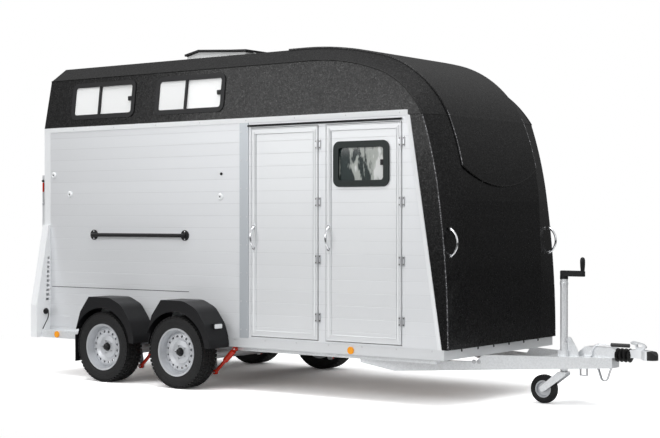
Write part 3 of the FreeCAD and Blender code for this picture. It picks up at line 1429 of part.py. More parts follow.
# Coupling head: a pressed body, narrow at its neck and round over the ball.
head_rear = bellows_rear + S.bellows_length + S.fit_gap
ball_x = at(coupling_reach - 50)
side_form = prism("head_side", "XZ_Plane", -60, 60, [
    (at(head_rear), draw_z - 28),
    (ball_x - 80, draw_z - 28, 10),
    (ball_x - 52, draw_z - 40, 10),
    (ball_x + 50, draw_z - 40),
    (ball_x + 50, draw_z - 4, 14),
    (ball_x + 22, draw_z + 22, 18),
    (ball_x - 60, draw_z + 34, 12),
    (at(head_rear), draw_z + 34),
])
top_form = prism("head_top", "XY_Plane", draw_z - 60, draw_z + 60, [
    (at(head_rear), -30),
    (ball_x - 70, -30, 12),
    (ball_x - 34, -50, 16),
    (ball_x + 50, -50, 46),
    (ball_x + 50, 50, 46),
    (ball_x - 34, 50, 16),
    (ball_x - 70, 30, 12),
    (at(head_rear), 30),
])
head = doc.addObject("Part::MultiCommon", "coupling_solid")
head.Shapes = [side_form, top_form]
socket = doc.addObject("Part::Sphere", "ball_space")
bind(socket, Radius=S.ball_radius + 0.5)
place(socket, ball_x, 0, draw_z - 18)
socket_mouth = rod("ball_mouth", (ball_x, 0, draw_z - 60), "z", as_size(42), S.ball_radius + 0.5)
node("coupling_head", cut("coupling_head", head, socket, socket_mouth))

# Coupling lever: a pressed handle over the head, with a finger hole.
lever_low = draw_z + 34 + S.fit_gap
node("coupling_lever", prism("coupling_lever", "XZ_Plane", -13, 13, [
    (ball_x - 124, lever_low, 4),
    (ball_x - 66, lever_low, 4),
    (ball_x - 34, lever_low + 20, 12),
    (ball_x - 62, lever_low + 48, 12),
    (ball_x - 152, lever_low + 66, 8),
    (ball_x - 176, lever_low + 46, 8),
    (ball_x - 128, lever_low + 34, 12),
], [[
    (ball_x - 112, lever_low + 20, 5),
    (ball_x - 72, lever_low + 20, 5),
    (ball_x - 74, lever_low + 36, 5),
    (ball_x - 118, lever_low + 44, 5),
]]))

# Handbrake: a bent lever beside the housing, with a sleeve for the hand over the bellows.
brake_y = as_size(-45) - 9 - S.fit_gap
brake_rod = bent_tube("brake_rod", [
    (at(housing_rear + 110), brake_y, draw_z - 12),
    (at(housing_rear + 150), brake_y, draw_z + 52),
    (at(housing_rear + 190), brake_y, draw_z + 66),
    (at(housing_front + 60), brake_y, draw_z + 66),
], 8, 26)
brake_grip = rod("brake_grip", (at(housing_front - 30), brake_y, draw_z + 66), "x", as_size(150), 15)
brake_boss = rod("brake_boss", (at(housing_rear + 110), brake_y - 11, draw_z - 12), "y", as_size(20), 22)
node("handbrake", fuse("handbrake", [brake_rod, brake_grip, brake_boss]))

# Jockey wheel: clamped leg, swivelling fork and wheel.
leg_bottom = S.beam_top - 120
clamp_block = prism("jockey_clamp_block", "XY_Plane", S.beam_top + S.fit_gap, S.beam_top + 44, [
    (jx - 44, jy - 40, 18),
    (jx + 44, jy - 40, 18),
    (jx + 44, jy + 40, 18),
    (jx - 44, jy + 40, 18),
])
gusset = prism("jockey_gusset", "XZ_Plane", jy - 5, jy + 5, [
    (jx + 33, S.beam_top + S.fit_gap),
    (jx + 128, S.beam_top + S.fit_gap),
    (jx + 112, S.beam_top + 60, 10),
    (jx + 58, S.beam_top + 148, 8),
    (jx + 33, S.beam_top + 148),
])
clamp = fuse("jockey_clamp_solid", [clamp_block, gusset])
leg_tube = rod("jockey_leg_tube", (jx, jy, leg_bottom), "z", S.jockey_top - leg_bottom, S.jockey_tube)
kingpin = rod("kingpin", (jx, jy, leg_bottom - 20), "z", as_size(30), 12)
kingpin_head = rod("kingpin_head", (jx, jy, leg_bottom - 24), "z", as_size(4.7), 18)
leg = fuse("jockey_leg", [leg_tube, kingpin, kingpin_head])
node("jockey_clamp", cut("jockey_clamp_ring", clamp,
                         rod("clamp_bore", (jx, jy, S.beam_top - 10), "z", as_size(80),
                             S.jockey_tube + S.fit_gap)))
node("jockey_leg", leg)
crank_z = S.jockey_top + S.fit_gap
crank_reach = 160
crank_cap = rod("jockey_cap", (jx, jy, crank_z), "z", as_size(26), S.jockey_tube + 2)
crank_arm = prism("jockey_crank_arm", "XY_Plane", crank_z + 22, crank_z + 44, [
    (jx - 26, jy - 20, 14),
    (jx + crank_reach + 18, jy - 16, 14),
    (jx + crank_reach + 18, jy + 16, 14),
    (jx - 26, jy + 20, 14),
])
grip = rod("jockey_grip", (jx + crank_reach, jy, crank_z + 40), "z", as_size(112), 15)
node("jockey_crank", fuse("jockey_crank", [crank_cap, crank_arm, grip]))
wheel_x = jx - S.jockey_trail
fork_out = S.jockey_width / 2 + 8


def fork_plate(name, low, high):
    return prism(name, "XZ_Plane", low, high, [
        (wheel_x - 10, S.jockey_radius - 24, 14),
        (wheel_x + 28, S.jockey_radius - 10, 14),
        (jx + 34, leg_bottom - 30),
        (jx + 34, leg_bottom - 5),
        (jx - 34, leg_bottom - 5),
        (wheel_x - 26, S.jockey_radius + 12, 14),
    ])


fork_right = fork_plate("fork_right", jy - fork_out - 5, jy - fork_out)
fork_left = fork_plate("fork_left", jy + fork_out, jy + fork_out + 5)
crown = box("fork_crown", (jx - 34, jx + 34), (jy - fork_out - 5, jy + fork_out + 5),
            (leg_bottom - 15, leg_bottom - 5))
crown_bore = rod("crown_bore", (jx, jy, leg_bottom - 30), "z", as_size(60), as_size(12.06))
wheel_axle = rod("jockey_axle", (wheel_x, jy - fork_out - 7, S.jockey_radius), "y", 2 * fork_out + 14, 7.95)
node("jockey_fork", cut("jockey_fork", fuse("fork_solid", [fork_right, fork_left, crown, wheel_axle]),
                        crown_bore))
node("jockey_tyre", turned("jockey_tyre", [
    (-S.jockey_width / 2 + 6, 68),
    (S.jockey_width / 2 - 6, 68),
    (S.jockey_width / 2, 90, 12),
    (S.jockey_width / 2 - 12, S.jockey_radius, 12),
    (-S.jockey_width / 2 + 12, S.jockey_radius, 12),
    (-S.jockey_width / 2, 90, 12),
], (wheel_x, jy, S.jockey_radius)))
node("jockey_rim", turned("jockey_rim", [
    (-S.jockey_width / 2 + 6, 67.7),
    (S.jockey_width / 2 - 6, 67.7),
    (S.jockey_width / 2 - 6, 60),
    (6, 52),
    (6, 24),
    (S.jockey_width / 2, 20),
    (S.jockey_width / 2, 8),
    (-S.jockey_width / 2, 8),
    (-S.jockey_width / 2, 20),
    (-6, 24),
    (-6, 52),
    (-S.jockey_width / 2 + 6, 60),
], (wheel_x, jy, S.jockey_radius)))

# Check every object, then write each sub-part.
doc.recompute()
problems = []
for item in doc.Objects:
    if any(state in ("Invalid", "Error") for state in item.State):
        problems.append(f"{item.Name}: {item.State}")
for name, item in nodes:
    shape = item.Shape
    if shape.isNull() or not shape.isValid() or not shape.Solids:
        problems.append(f"{name}: shape is not a valid solid")
if problems:
    raise RuntimeError("; ".join(problems))
os.makedirs("parts", exist_ok=True)
for name, item in nodes:
    item.Shape.exportStep(f"parts/{name}.step")
    print(f"{name}: {len(item.Shape.Solids)} solids, {item.Shape.Volume / 1e6:.2f} l")
print(f"{len(nodes)} nodes, overall length {coupling_reach.value + S.ramp_reach.value:.0f}")
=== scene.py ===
# %% [markdown]
# # A two-horse trailer, dressed for the studio
#
# The measured model of the trailer comes in as a fixed frame: every sheet, tube and hinge
# already has its real size and place, in metres, X towards the coupling, Y to the left and
# Z up from the ground. This lesson gives it its surfaces and its small parts. We never move
# what came in. We paint it, and we add what a workshop adds last: rivets, bolts, caps,
# reflectors, seals and the tread of the tyres.

import json
import math

import bmesh
import bpy
from mathutils import Matrix, Vector


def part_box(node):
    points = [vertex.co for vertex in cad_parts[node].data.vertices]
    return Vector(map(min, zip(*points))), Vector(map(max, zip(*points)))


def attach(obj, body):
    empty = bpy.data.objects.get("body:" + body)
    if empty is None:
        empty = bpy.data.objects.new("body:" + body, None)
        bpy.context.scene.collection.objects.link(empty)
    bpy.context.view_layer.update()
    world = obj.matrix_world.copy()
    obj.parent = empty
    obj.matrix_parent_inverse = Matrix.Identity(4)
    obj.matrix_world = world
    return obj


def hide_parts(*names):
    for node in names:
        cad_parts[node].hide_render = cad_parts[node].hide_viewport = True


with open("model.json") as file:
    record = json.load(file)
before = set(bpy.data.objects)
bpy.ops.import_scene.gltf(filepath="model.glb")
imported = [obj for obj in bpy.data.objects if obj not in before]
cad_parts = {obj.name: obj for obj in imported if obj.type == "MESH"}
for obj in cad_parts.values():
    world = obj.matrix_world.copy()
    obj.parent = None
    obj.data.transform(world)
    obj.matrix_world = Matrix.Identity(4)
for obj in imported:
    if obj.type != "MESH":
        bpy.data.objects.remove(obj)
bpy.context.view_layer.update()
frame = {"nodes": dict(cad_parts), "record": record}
nodes = frame["nodes"]

# %% [markdown]
# The trailer is a long object seen from a low, level viewpoint, so the camera needs a long
# lens. Its place and its direction were worked out once from the trailer's straight edges.
# A level camera keeps every upright edge upright in the picture.

# %% Camera
VIEW_PLACE = Vector((7.4626, -10.3140, 1.4543))
VIEW_BACK = Vector((0.5944, -0.8042, 0.0))
LENS_MM = 79.12
SENSOR_MM = 36.0

scene = bpy.context.scene
camera_data = bpy.data.cameras.new("studio_camera")
camera_data.lens = LENS_MM
camera_data.sensor_width = SENSOR_MM
camera_data.sensor_fit = "HORIZONTAL"
camera = bpy.data.objects.new("studio_camera", camera_data)
view_right = Vector((0, 0, 1)).cross(VIEW_BACK).normalized()
turn = Matrix((view_right, Vector((0, 0, 1)), VIEW_BACK.normalized())).transposed()
camera.matrix_world = Matrix.Translation(VIEW_PLACE) @ turn.to_4x4()
scene.collection.objects.link(camera)
scene.camera = camera
print("camera", [round(v, 2) for v in camera.location])

# %% [markdown]
# Every surface and every pattern here is a small tree of nodes. A few helpers keep those
# trees short to write. One adds a node and wires its inputs in the same line, one does
# arithmetic, and one maps a value from one range to another.


# %% Node helpers
def tree_of(owner):
    owner.use_nodes = True
    owner.node_tree.nodes.clear()
    return owner.node_tree


def plug(tree, value, socket):
    """Links an output, or a node's first output, to an input, or writes a plain value."""
    if isinstance(value, bpy.types.Node):
        value = value.outputs[0]
    if isinstance(value, bpy.types.NodeSocket):
        tree.links.new(value, socket)
    else:
        socket.default_value = value


def add(tree, kind, **values):
    """A node with its settings. A name with a capital, or _ and a number, is an input."""
    item = tree.nodes.new(kind)
    for name, value in values.items():
        if name[0].islower():
            setattr(item, name, value)
        elif name[0] == "_":
            plug(tree, value, item.inputs[int(name[1:])])
        else:
            plug(tree, value, item.inputs[name.replace("_", " ")])
    return item


def maths(tree, operation, *values):
    item = add(tree, "ShaderNodeMath", operation=operation)
    for value, socket in zip(values, item.inputs):
        plug(tree, value, socket)
    return item.outputs[0]


def spread(tree, source, low, high, first=0.0, last=1.0, smooth=False):
    """Maps a value that runs from first to last to a range from low to high."""
    return add(tree, "ShaderNodeMapRange", clamp=True,
               interpolation_type="SMOOTHSTEP" if smooth else "LINEAR", Value=source,
               From_Min=first, From_Max=last, To_Min=low, To_Max=high).outputs[0]


def where(tree, output="Object"):
    """The place of a point on the trailer, or the way that its surface faces."""
    return add(tree, "ShaderNodeTexCoord").outputs[output]


print("node helpers ready")

# %% [markdown]
# A product picture on white needs a floor that fades into the backdrop but still carries the
# shadow under the wheels. The floor is matt. The camera sees it brighter than the trailer
# does, so it reaches full white where no shadow falls, and further out it turns into plain
# white. Black gelcoat only looks black if most of the room it mirrors is dark, so the world
# is light above and behind the camera's left, and dark ahead of the trailer and behind it.

# %% Floor, world and lamps
scene.view_settings.view_transform = "Standard"
WHITE = (1, 1, 1, 1)
FLOOR_HALF = 60.0
FLOOR_WHITE = 0.80
FLOOR_TO_CAMERA = 1.62
FLOOR_GLOW = 0.02
FLOOR_FAR = 0.10
FLOOR_OVAL = (0.52, 1.0, 1.0)
FADE_FROM = 1.7
FADE_TO = 3.6
SKY_DARK = 0.11
SKY_LIGHT = 0.78
SKY_SIDE = (0.30, -0.45, 0.84)
SKY_TURNS = (-0.45, 0.75)

world = bpy.data.worlds.new("studio")
scene.world = world
tree = tree_of(world)
rays = add(tree, "ShaderNodeLightPath").outputs
facing = add(tree, "ShaderNodeVectorMath", operation="DOT_PRODUCT",
             _0=where(tree, "Generated"), _1=SKY_SIDE)
room = spread(tree, facing.outputs["Value"], SKY_DARK, SKY_LIGHT, *SKY_TURNS, smooth=True)
sky = add(tree, "ShaderNodeMixShader",
          _0=maths(tree, "MAXIMUM", rays["Is Camera Ray"], rays["Is Transmission Ray"]),
          _1=add(tree, "ShaderNodeBackground", Color=WHITE, Strength=room),
          _2=add(tree, "ShaderNodeBackground", Color=WHITE, Strength=1.0))
add(tree, "ShaderNodeOutputWorld", _0=sky)

floor_mesh = bpy.data.meshes.new("studio_floor")
floor_mesh.from_pydata([(FLOOR_HALF * x, FLOOR_HALF * y, 0)
                        for x, y in ((-1, -1), (1, -1), (1, 1), (-1, 1))], [], [(0, 1, 2, 3)])
floor = bpy.data.objects.new("studio_floor", floor_mesh)
scene.collection.objects.link(floor)
floor_paint = bpy.data.materials.new("studio_floor")
tree = tree_of(floor_paint)
to_camera = add(tree, "ShaderNodeLightPath").outputs["Is Camera Ray"]
near = add(tree, "ShaderNodeAddShader",
           _0=add(tree, "ShaderNodeBsdfDiffuse",
                  Color=spread(tree, to_camera, FLOOR_WHITE, FLOOR_TO_CAMERA)),
           _1=add(tree, "ShaderNodeEmission", Color=WHITE,
                  Strength=maths(tree, "MULTIPLY", to_camera, FLOOR_GLOW)))
far = add(tree, "ShaderNodeMixShader", _0=to_camera,
          _1=add(tree, "ShaderNodeBsdfDiffuse", Color=(FLOOR_FAR,) * 3 + (1,)),
          _2=add(tree, "ShaderNodeEmission", Color=WHITE, Strength=1.0))
oval = add(tree, "ShaderNodeVectorMath", operation="MULTIPLY", _0=where(tree), _1=FLOOR_OVAL)
reach = add(tree, "ShaderNodeVectorMath", operation="LENGTH", _0=oval).outputs["Value"]
whole = add(tree, "ShaderNodeMixShader",
            _0=spread(tree, reach, 0.0, 1.0, FADE_FROM, FADE_TO, smooth=True), _1=near, _2=far)
add(tree, "ShaderNodeOutputMaterial", Surface=whole)
floor_mesh.materials.append(floor_paint)

# Columns: name, place, aim, width, height, power in watts.
SOFTBOXES = [
    ("overhead_softbox", (0.4, -1.3, 7.5), (0.0, 0.0, 0.0), 8.0, 4.2, 420),
    ("side_softbox", (-3.6, -9.6, 4.4), (0.0, 0.0, 1.4), 9.0, 4.0, 330),
    ("front_softbox", (9.5, -3.0, 4.6), (2.0, 0.0, 1.3), 3.0, 2.5, 26),
    ("far_side_softbox", (0.0, 10.0, 2.6), (0.0, 0.0, 1.2), 7.0, 3.2, 230),
    ("rear_softbox", (-10.0, 3.0, 3.0), (-2.0, 0.0, 1.2), 4.0, 3.0, 120),
]
# These two only lift the far and rear sides: the gelcoat doesn't mirror them.
UNMIRRORED = {"far_side_softbox", "rear_softbox"}
for name, place, aim, width, height, power in SOFTBOXES:
    lamp_data = bpy.data.lights.new(name, "AREA")
    lamp_data.shape = "RECTANGLE"
    lamp_data.size, lamp_data.size_y = width, height
    lamp_data.energy = power
    lamp = bpy.data.objects.new(name, lamp_data)
    lamp.location = place
    lamp.visible_glossy = name not in UNMIRRORED
    lamp.rotation_euler = (Vector(aim) - Vector(place)).to_track_quat("-Z", "Y").to_euler()
    scene.collection.objects.link(lamp)
print(len(SOFTBOXES), "softboxes")

# %% [markdown]
# Most finishes here share two effects. A grain is a noise that can be stretched along one
# way, as rolling and drawing stretch the grain of metal. Cells are patches of even tone with
# sharp borders, as zinc crystals have. Each effect is a node group with named sockets, built
# once, and each material turns its own knobs.


# %% Shader groups shared by the finishes
def shader_group(name, inputs, outputs):
    group = bpy.data.node_groups.new(name, "ShaderNodeTree")
    for label, default in inputs:
        socket = group.interface.new_socket(label, in_out="INPUT", socket_type="NodeSocketFloat")
        socket.default_value = default
    for label in outputs:
        group.interface.new_socket(label, in_out="OUTPUT", socket_type="NodeSocketFloat")
    return group, add(group, "NodeGroupInput").outputs, add(group, "NodeGroupOutput").inputs


grain_group, knob, result = shader_group(
    "stretched_grain",
    [("Scale", 60.0), ("Along X", 1.0), ("Along Y", 1.0), ("Along Z", 1.0), ("Low", 0.0),
     ("High", 1.0)],
    ["Value"])
stretch = add(grain_group, "ShaderNodeCombineXYZ", X=knob["Along X"], Y=knob["Along Y"],
              Z=knob["Along Z"])
fit = add(grain_group, "ShaderNodeVectorMath", operation="MULTIPLY", _0=where(grain_group),
          _1=stretch)
noise = add(grain_group, "ShaderNodeTexNoise", Detail=4.0, Roughness=0.6, Vector=fit,
            Scale=knob["Scale"])
plug(grain_group, spread(grain_group, noise.outputs["Fac"], knob["Low"], knob["High"]),
     result["Value"])

cell_group, knob, result = shader_group(
    "crystal_cells", [("Scale", 60.0), ("Low", 0.0), ("High", 1.0)], ["Value"])
cells = add(cell_group, "ShaderNodeTexVoronoi", Vector=where(cell_group), Scale=knob["Scale"])
split = add(cell_group, "ShaderNodeSeparateColor", _0=cells.outputs["Color"])
plug(cell_group, spread(cell_group, split.outputs[0], knob["Low"], knob["High"]),
     result["Value"])
print("groups", [g.name for g in bpy.data.node_groups])

# %% [markdown]
# The walls are tongued aluminium planks. What shows from a few steps away is a fine dark
# line at each joint and a slightly different silver from plank to plank. The third group
# makes both from one number, the height above the ground: whole steps of it pick a plank's
# tone, and what is left over near a step is the joint.

# %% Plank group
PLANK_PITCH = 0.1035
PLANK_FOOT = 0.448

tree, knob, result = shader_group(
    "plank_joints", [("Pitch", PLANK_PITCH), ("Foot", PLANK_FOOT), ("Joint", 0.018)],
    ["Joint", "Tone"])
height = add(tree, "ShaderNodeSeparateXYZ", _0=where(tree)).outputs["Z"]
rows = maths(tree, "DIVIDE", maths(tree, "SUBTRACT", height, knob["Foot"]), knob["Pitch"])
part_of_row = maths(tree, "FRACT", rows)
near = maths(tree, "MINIMUM", part_of_row, maths(tree, "SUBTRACT", 1.0, part_of_row))
joint = maths(tree, "SUBTRACT", 1.0,
              maths(tree, "MINIMUM", maths(tree, "DIVIDE", near, knob["Joint"]), 1.0))
pick = add(tree, "ShaderNodeTexWhiteNoise", noise_dimensions="1D", W=maths(tree, "FLOOR", rows))
plug(tree, joint, result["Joint"])
plug(tree, pick.outputs["Value"], result["Tone"])
plank_group = tree
print("planks every", PLANK_PITCH, "m from", PLANK_FOOT)

# %% [markdown]
# A finish starts as one Principled shader whose plain numbers sit in its own sockets. Then
# the groups change its colour, its roughness and its bump over the surface. The helper below
# keeps that order: make it, tint it, roughen it, emboss it.

# %% Finish helper
finishes = {}


class Finish:
    """A material with one Principled shader and helpers that vary it over the surface."""

    def __init__(self, name, color, roughness, **sockets):
        finishes[name] = bpy.data.materials.new(name)
        self.tree = tree_of(finishes[name])
        self.paint = (*color, 1)
        self.height = None
        self.shader = add(self.tree, "ShaderNodeBsdfPrincipled", Base_Color=self.paint,
                          Roughness=roughness, **sockets)
        add(self.tree, "ShaderNodeOutputMaterial", Surface=self.shader)

    def use(self, group, output="Value", **knobs):
        return add(self.tree, "ShaderNodeGroup", node_tree=group, **knobs).outputs[output]

    def grain(self, scale, low=0.0, high=1.0, **along):
        return self.use(grain_group, Scale=scale, Low=low, High=high, **along)

    def cells(self, scale, low=0.0, high=1.0):
        return self.use(cell_group, Scale=scale, Low=low, High=high)

    def tint(self, mask, color, share=None):
        """Mixes in another colour where the mask is 1, or up to a share of it."""
        if share is not None:
            mask = spread(self.tree, mask, 0.0, share)
        mix = add(self.tree, "ShaderNodeMix", data_type="RGBA", A=self.paint, B=(*color, 1),
                  Factor=mask)
        self.paint = mix.outputs["Result"]
        plug(self.tree, self.paint, self.shader.inputs["Base Color"])

    def gloss(self, value):
        plug(self.tree, value, self.shader.inputs["Roughness"])

    def emboss(self, height, distance, strength=1.0):
        bump = add(self.tree, "ShaderNodeBump", Strength=strength, Distance=distance,
                   Height=height)
        if self.height is not None:
            plug(self.tree, self.height, bump.inputs["Normal"])
        self.height = bump.outputs["Normal"]
        plug(self.tree, self.height, self.shader.inputs["Normal"])


def shade(color, share):
    return tuple(c * share for c in color)


print("finish helper ready")

# %% [markdown]
# Now each finish in turn. Anodised aluminium is a metal with a broad, soft shine: the grain
# runs along the plank, so the noise is stretched along X. Powder coat and moulded plastic
# have a faint orange peel, and hot-dip zinc is a patchwork of crystals.


# %% Sheet, coated and galvanised finishes
def metal_sheet(name, color, roughness, joints=True):
    made = Finish(name, color, roughness, Metallic=0.50)
    long_grain = made.grain(9.0, Along_X=0.25, Along_Z=26.0)
    made.gloss(made.grain(14.0, roughness - 0.06, roughness + 0.10, Along_X=0.3, Along_Z=20.0))
    made.tint(long_grain, shade(color, 0.92), 0.45)
    if joints:
        made.tint(made.use(plank_group, "Tone"), shade(color, 0.93), 0.5)
        line = made.use(plank_group, "Joint")
        made.tint(line, shade(color, 0.45), 0.42)
        made.emboss(spread(made.tree, line, 1.0, 0.0), 0.0012, 0.8)
    made.emboss(long_grain, 0.0002, 0.35)


def powder_coat(name, color, roughness, bump=0.0003, speck=0.9, shine=0.5):
    made = Finish(name, color, roughness, Specular_IOR_Level=shine)
    made.tint(made.grain(3.0), shade(color, speck), 0.35)
    made.gloss(made.grain(30.0, roughness - 0.05, roughness + 0.07))
    made.emboss(made.grain(240.0), bump, 0.3)


def zinc(name, color, low, high, metallic=0.85):
    made = Finish(name, color, 0.4, Metallic=metallic)
    cloud = made.grain(11.0)
    made.tint(made.cells(95.0), shade(color, 0.78), 0.55)
    made.tint(cloud, shade(color, 0.80), 0.5)
    made.gloss(made.cells(95.0, low, high))
    made.emboss(cloud, 0.0015, 0.25)


# Columns: name, colour, roughness, and whether plank joints show.
for row in (("plank_aluminium", (0.76, 0.775, 0.795), 0.42),
            ("door_aluminium", (0.76, 0.775, 0.79), 0.40),
            ("sill_aluminium", (0.70, 0.715, 0.73), 0.38, False),
            ("strip_aluminium", (0.50, 0.53, 0.56), 0.36, False),
            ("ramp_aluminium", (0.70, 0.71, 0.73), 0.42)):
    metal_sheet(*row)
# Columns: name, colour, roughness, depth of the orange peel, tone of its clouds, shine.
for row in (("profile_white", (0.80, 0.815, 0.83), 0.34),
            ("panel_white", (0.82, 0.835, 0.85), 0.30),
            ("inner_panel", (0.62, 0.63, 0.63), 0.50),
            ("pale_plastic", (0.66, 0.67, 0.67), 0.45),
            ("damper_red", (0.50, 0.022, 0.006), 0.25),
            ("black_plastic", (0.008, 0.008, 0.009), 0.42, 0.0004, 1.6, 0.28),
            ("guard_plastic", (0.008, 0.008, 0.009), 0.46, 0.0008, 1.5, 0.20),
            ("window_rubber", (0.009, 0.015, 0.014), 0.42, 0.0004, 1.4, 0.30),
            ("bellows_rubber", (0.006, 0.006, 0.006), 0.52, 0.0004, 1.5, 0.22),
            ("blind_fabric", (0.25, 0.26, 0.27), 0.80, 0.0010)):
    powder_coat(*row)
zinc("galvanised", (0.90, 0.92, 0.94), 0.28, 0.50, 0.60)
zinc("door_fittings", (0.66, 0.67, 0.69), 0.28, 0.42)
print(len(finishes), "finishes so far")

# %% [markdown]
# The black mouldings are glossy resin with metal flakes under the surface: very small cells,
# of which only the brightest show. Two masks read from the surface itself keep it true. The
# side of the shell that faces the room is pale, and the roof's slopes shine less.


# %% Gelcoat
def inner_side(tree):
    """1 where a surface of the shell faces the room inside, 0 where it faces out."""
    from_axis = add(tree, "ShaderNodeVectorMath", operation="SUBTRACT", _0=where(tree),
                    _1=(0.0, 0.0, 1.6))
    flat = add(tree, "ShaderNodeVectorMath", operation="MULTIPLY", _0=from_axis,
               _1=(0.15, 1.0, 1.0))
    outward = add(tree, "ShaderNodeVectorMath", operation="DOT_PRODUCT", _0=flat,
                  _1=where(tree, "Normal"))
    return maths(tree, "LESS_THAN", outward.outputs["Value"], -0.05)


def slope_side(tree):
    """1 on the slopes that lean between a side and the top, 0 on sides, ends and top."""
    way = add(tree, "ShaderNodeSeparateXYZ", _0=where(tree, "Normal")).outputs
    lean = spread(tree, maths(tree, "ABSOLUTE", way["Y"]), 0.0, 1.0, 0.20, 0.45, smooth=True)
    rise = spread(tree, way["Z"], 0.0, 1.0, 0.15, 0.40, smooth=True)
    return maths(tree, "MULTIPLY", lean, rise)


made = Finish("black_gelcoat", (0.0022, 0.0022, 0.0025), 0.28, Coat_Weight=0.08,
              Coat_Roughness=0.05)
made.tint(inner_side(made.tree), (0.60, 0.61, 0.61))
coarse = made.cells(190.0)
flakes = maths(made.tree, "MULTIPLY", maths(made.tree, "POWER", coarse, 3.0),
               made.cells(480.0))
shine = maths(made.tree, "MULTIPLY", spread(made.tree, flakes, 0.14, 1.0),
              spread(made.tree, slope_side(made.tree), 1.0, 0.38))
plug(made.tree, shine, made.shader.inputs["Specular IOR Level"])
made.gloss(made.grain(22.0, 0.22, 0.34))
made.emboss(made.grain(5.0), 0.0030, 0.12)
made.emboss(coarse, 0.0002, 0.30)

# Painted highlight: the same resin, paler and with bright specks, where its rounded edge would
# catch the light.
made = Finish("painted_highlight_gelcoat", (0.035, 0.035, 0.038), 0.20, Coat_Weight=0.5,
              Coat_Roughness=0.10)
made.tint(maths(made.tree, "POWER", made.cells(120.0), 4.0), (0.42, 0.42, 0.44))
made.gloss(made.grain(30.0, 0.12, 0.30))
print("gelcoat with", len(finishes["black_gelcoat"].node_tree.nodes), "nodes")

# %% [markdown]
# The rest follow the same order, each with its own grain: coated plywood, polished handles,
# wheel enamel, tyre rubber, glass, ribbed lenses, and zinc that ends in a rubber cap.

# %% Board, chrome, wheels, glass and lenses
NOSE_CAP_FROM = 2.861
BRAKE_GRIP_FROM = 2.566

made = Finish("plywood", (0.20, 0.115, 0.065), 0.55)
ply = made.grain(14.0, Along_X=0.4, Along_Y=5.0)
made.tint(ply, (0.075, 0.045, 0.028), 0.8)
made.gloss(made.grain(40.0, 0.42, 0.68))
made.emboss(ply, 0.0008, 0.4)

CHROME = (0.84, 0.85, 0.87)
made = Finish("chrome", CHROME, 0.06, Metallic=1.0)
made.gloss(made.grain(60.0, 0.06, 0.14))
made.tint(made.grain(8.0), shade(CHROME, 0.85), 0.35)

made = Finish("rim_silver", (0.56, 0.575, 0.60), 0.34, Metallic=0.55, Coat_Weight=0.25)
speck = made.cells(700.0)
made.tint(speck, (0.40, 0.41, 0.43), 0.4)
made.gloss(made.grain(30.0, 0.28, 0.42))
made.emboss(speck, 0.0001, 0.2)

made = Finish("tyre", (0.007, 0.007, 0.0075), 0.55, Specular_IOR_Level=0.30)
made.tint(made.grain(9.0), (0.012, 0.012, 0.012), 0.7)
made.gloss(made.grain(24.0, 0.50, 0.74))
made.emboss(made.grain(300.0), 0.0004, 0.35)

# A thin pane, painted near white and four fifths opaque: painted light that stands for the bright
# far window and the room mirrored in it, with the shine of glass on top.
made = Finish("window_glass", (0.97, 0.98, 0.98), 0.04, Specular_IOR_Level=0.6, Alpha=0.80)
made.gloss(made.grain(7.0, 0.03, 0.09))
made.emboss(made.grain(4.0), 0.0006, 0.1)

# Painted shade and painted light: the door's pane carries pale and dark patches in its own colour,
# standing for the cabin behind it.
made = Finish("painted_cabin_glass", (0.50, 0.53, 0.50), 0.04, Specular_IOR_Level=0.6, Alpha=0.80)
painted_cabin_patch = made.grain(5.5, Along_X=1.3, Along_Z=0.45)
made.tint(spread(made.tree, painted_cabin_patch, 0.0, 1.0, 0.50, 0.56, smooth=True), (0.03, 0.045, 0.045))
made.tint(spread(made.tree, painted_cabin_patch, 0.0, 1.0, 0.46, 0.40, smooth=True), (0.86, 0.88, 0.87))
made.gloss(made.grain(7.0, 0.03, 0.09))

# Columns: name, colour, ribs per metre.
for name, color, ribs in (("lamp_red", (0.42, 0.008, 0.006), 220.0),
                          ("reflector_orange", (0.85, 0.27, 0.0), 300.0),
                          ("lamp_clear", (0.70, 0.72, 0.74), 260.0)):
    made = Finish(name, color, 0.16, Coat_Weight=0.6, Coat_Roughness=0.05)
    prism = made.cells(ribs)
    made.tint(prism, tuple(min(c * 1.8 + 0.02, 1) for c in color), 0.55)
    made.gloss(made.grain(60.0, 0.12, 0.24))
    made.emboss(prism, 0.0015, 0.5)

# Zinc that turns into black rubber ahead of a place along the trailer.
for name, start in (("coupling_nose", NOSE_CAP_FROM), ("brake_grip", BRAKE_GRIP_FROM)):
    made = Finish(name, (0.90, 0.92, 0.94), 0.38, Metallic=0.60)
    cloud = made.grain(11.0)
    made.tint(cloud, (0.70, 0.72, 0.74), 0.5)
    place = add(made.tree, "ShaderNodeSeparateXYZ", _0=where(made.tree))
    tip = maths(made.tree, "GREATER_THAN", place.outputs["X"], start)
    made.tint(tip, (0.008, 0.008, 0.008))
    bare = maths(made.tree, "SUBTRACT", 1.0, tip)
    plug(made.tree, maths(made.tree, "MULTIPLY", bare, 0.60), made.shader.inputs["Metallic"])
    made.gloss(made.grain(20.0, 0.30, 0.46))
    made.emboss(cloud, 0.0010, 0.2)
print(len(finishes), "finishes")

# %% [markdown]
# The record that came with the frame names a material slot for each node. One loop puts the
# finish of that name on every node, except for four nodes that have a finish of their own.

# %% Paint the frame
OWN_FINISH = {"door_window_pane": "painted_cabin_glass", "coupling_head": "coupling_nose",
              "handbrake": "brake_grip", "post_strips": "strip_aluminium"}
slot_of = {part["node"]: part["material_slot"] for part in frame["record"]["subparts"]}
for name, item in nodes.items():
    item.data.materials.clear()
    item.data.materials.append(finishes[OWN_FINISH.get(name, slot_of[name])])
print("painted", len(nodes), "nodes")

# %% [markdown]
# From here on we add small parts. Each one is made straight in the trailer's own frame, so a
# rivet's place is its place on the trailer. Stations are distances forward from the rear end
# of the walls, as a trailer builder measures them. A helper hands each finished shape to the
# body that carries it: the trailer, a door, the ramp or a wheel.

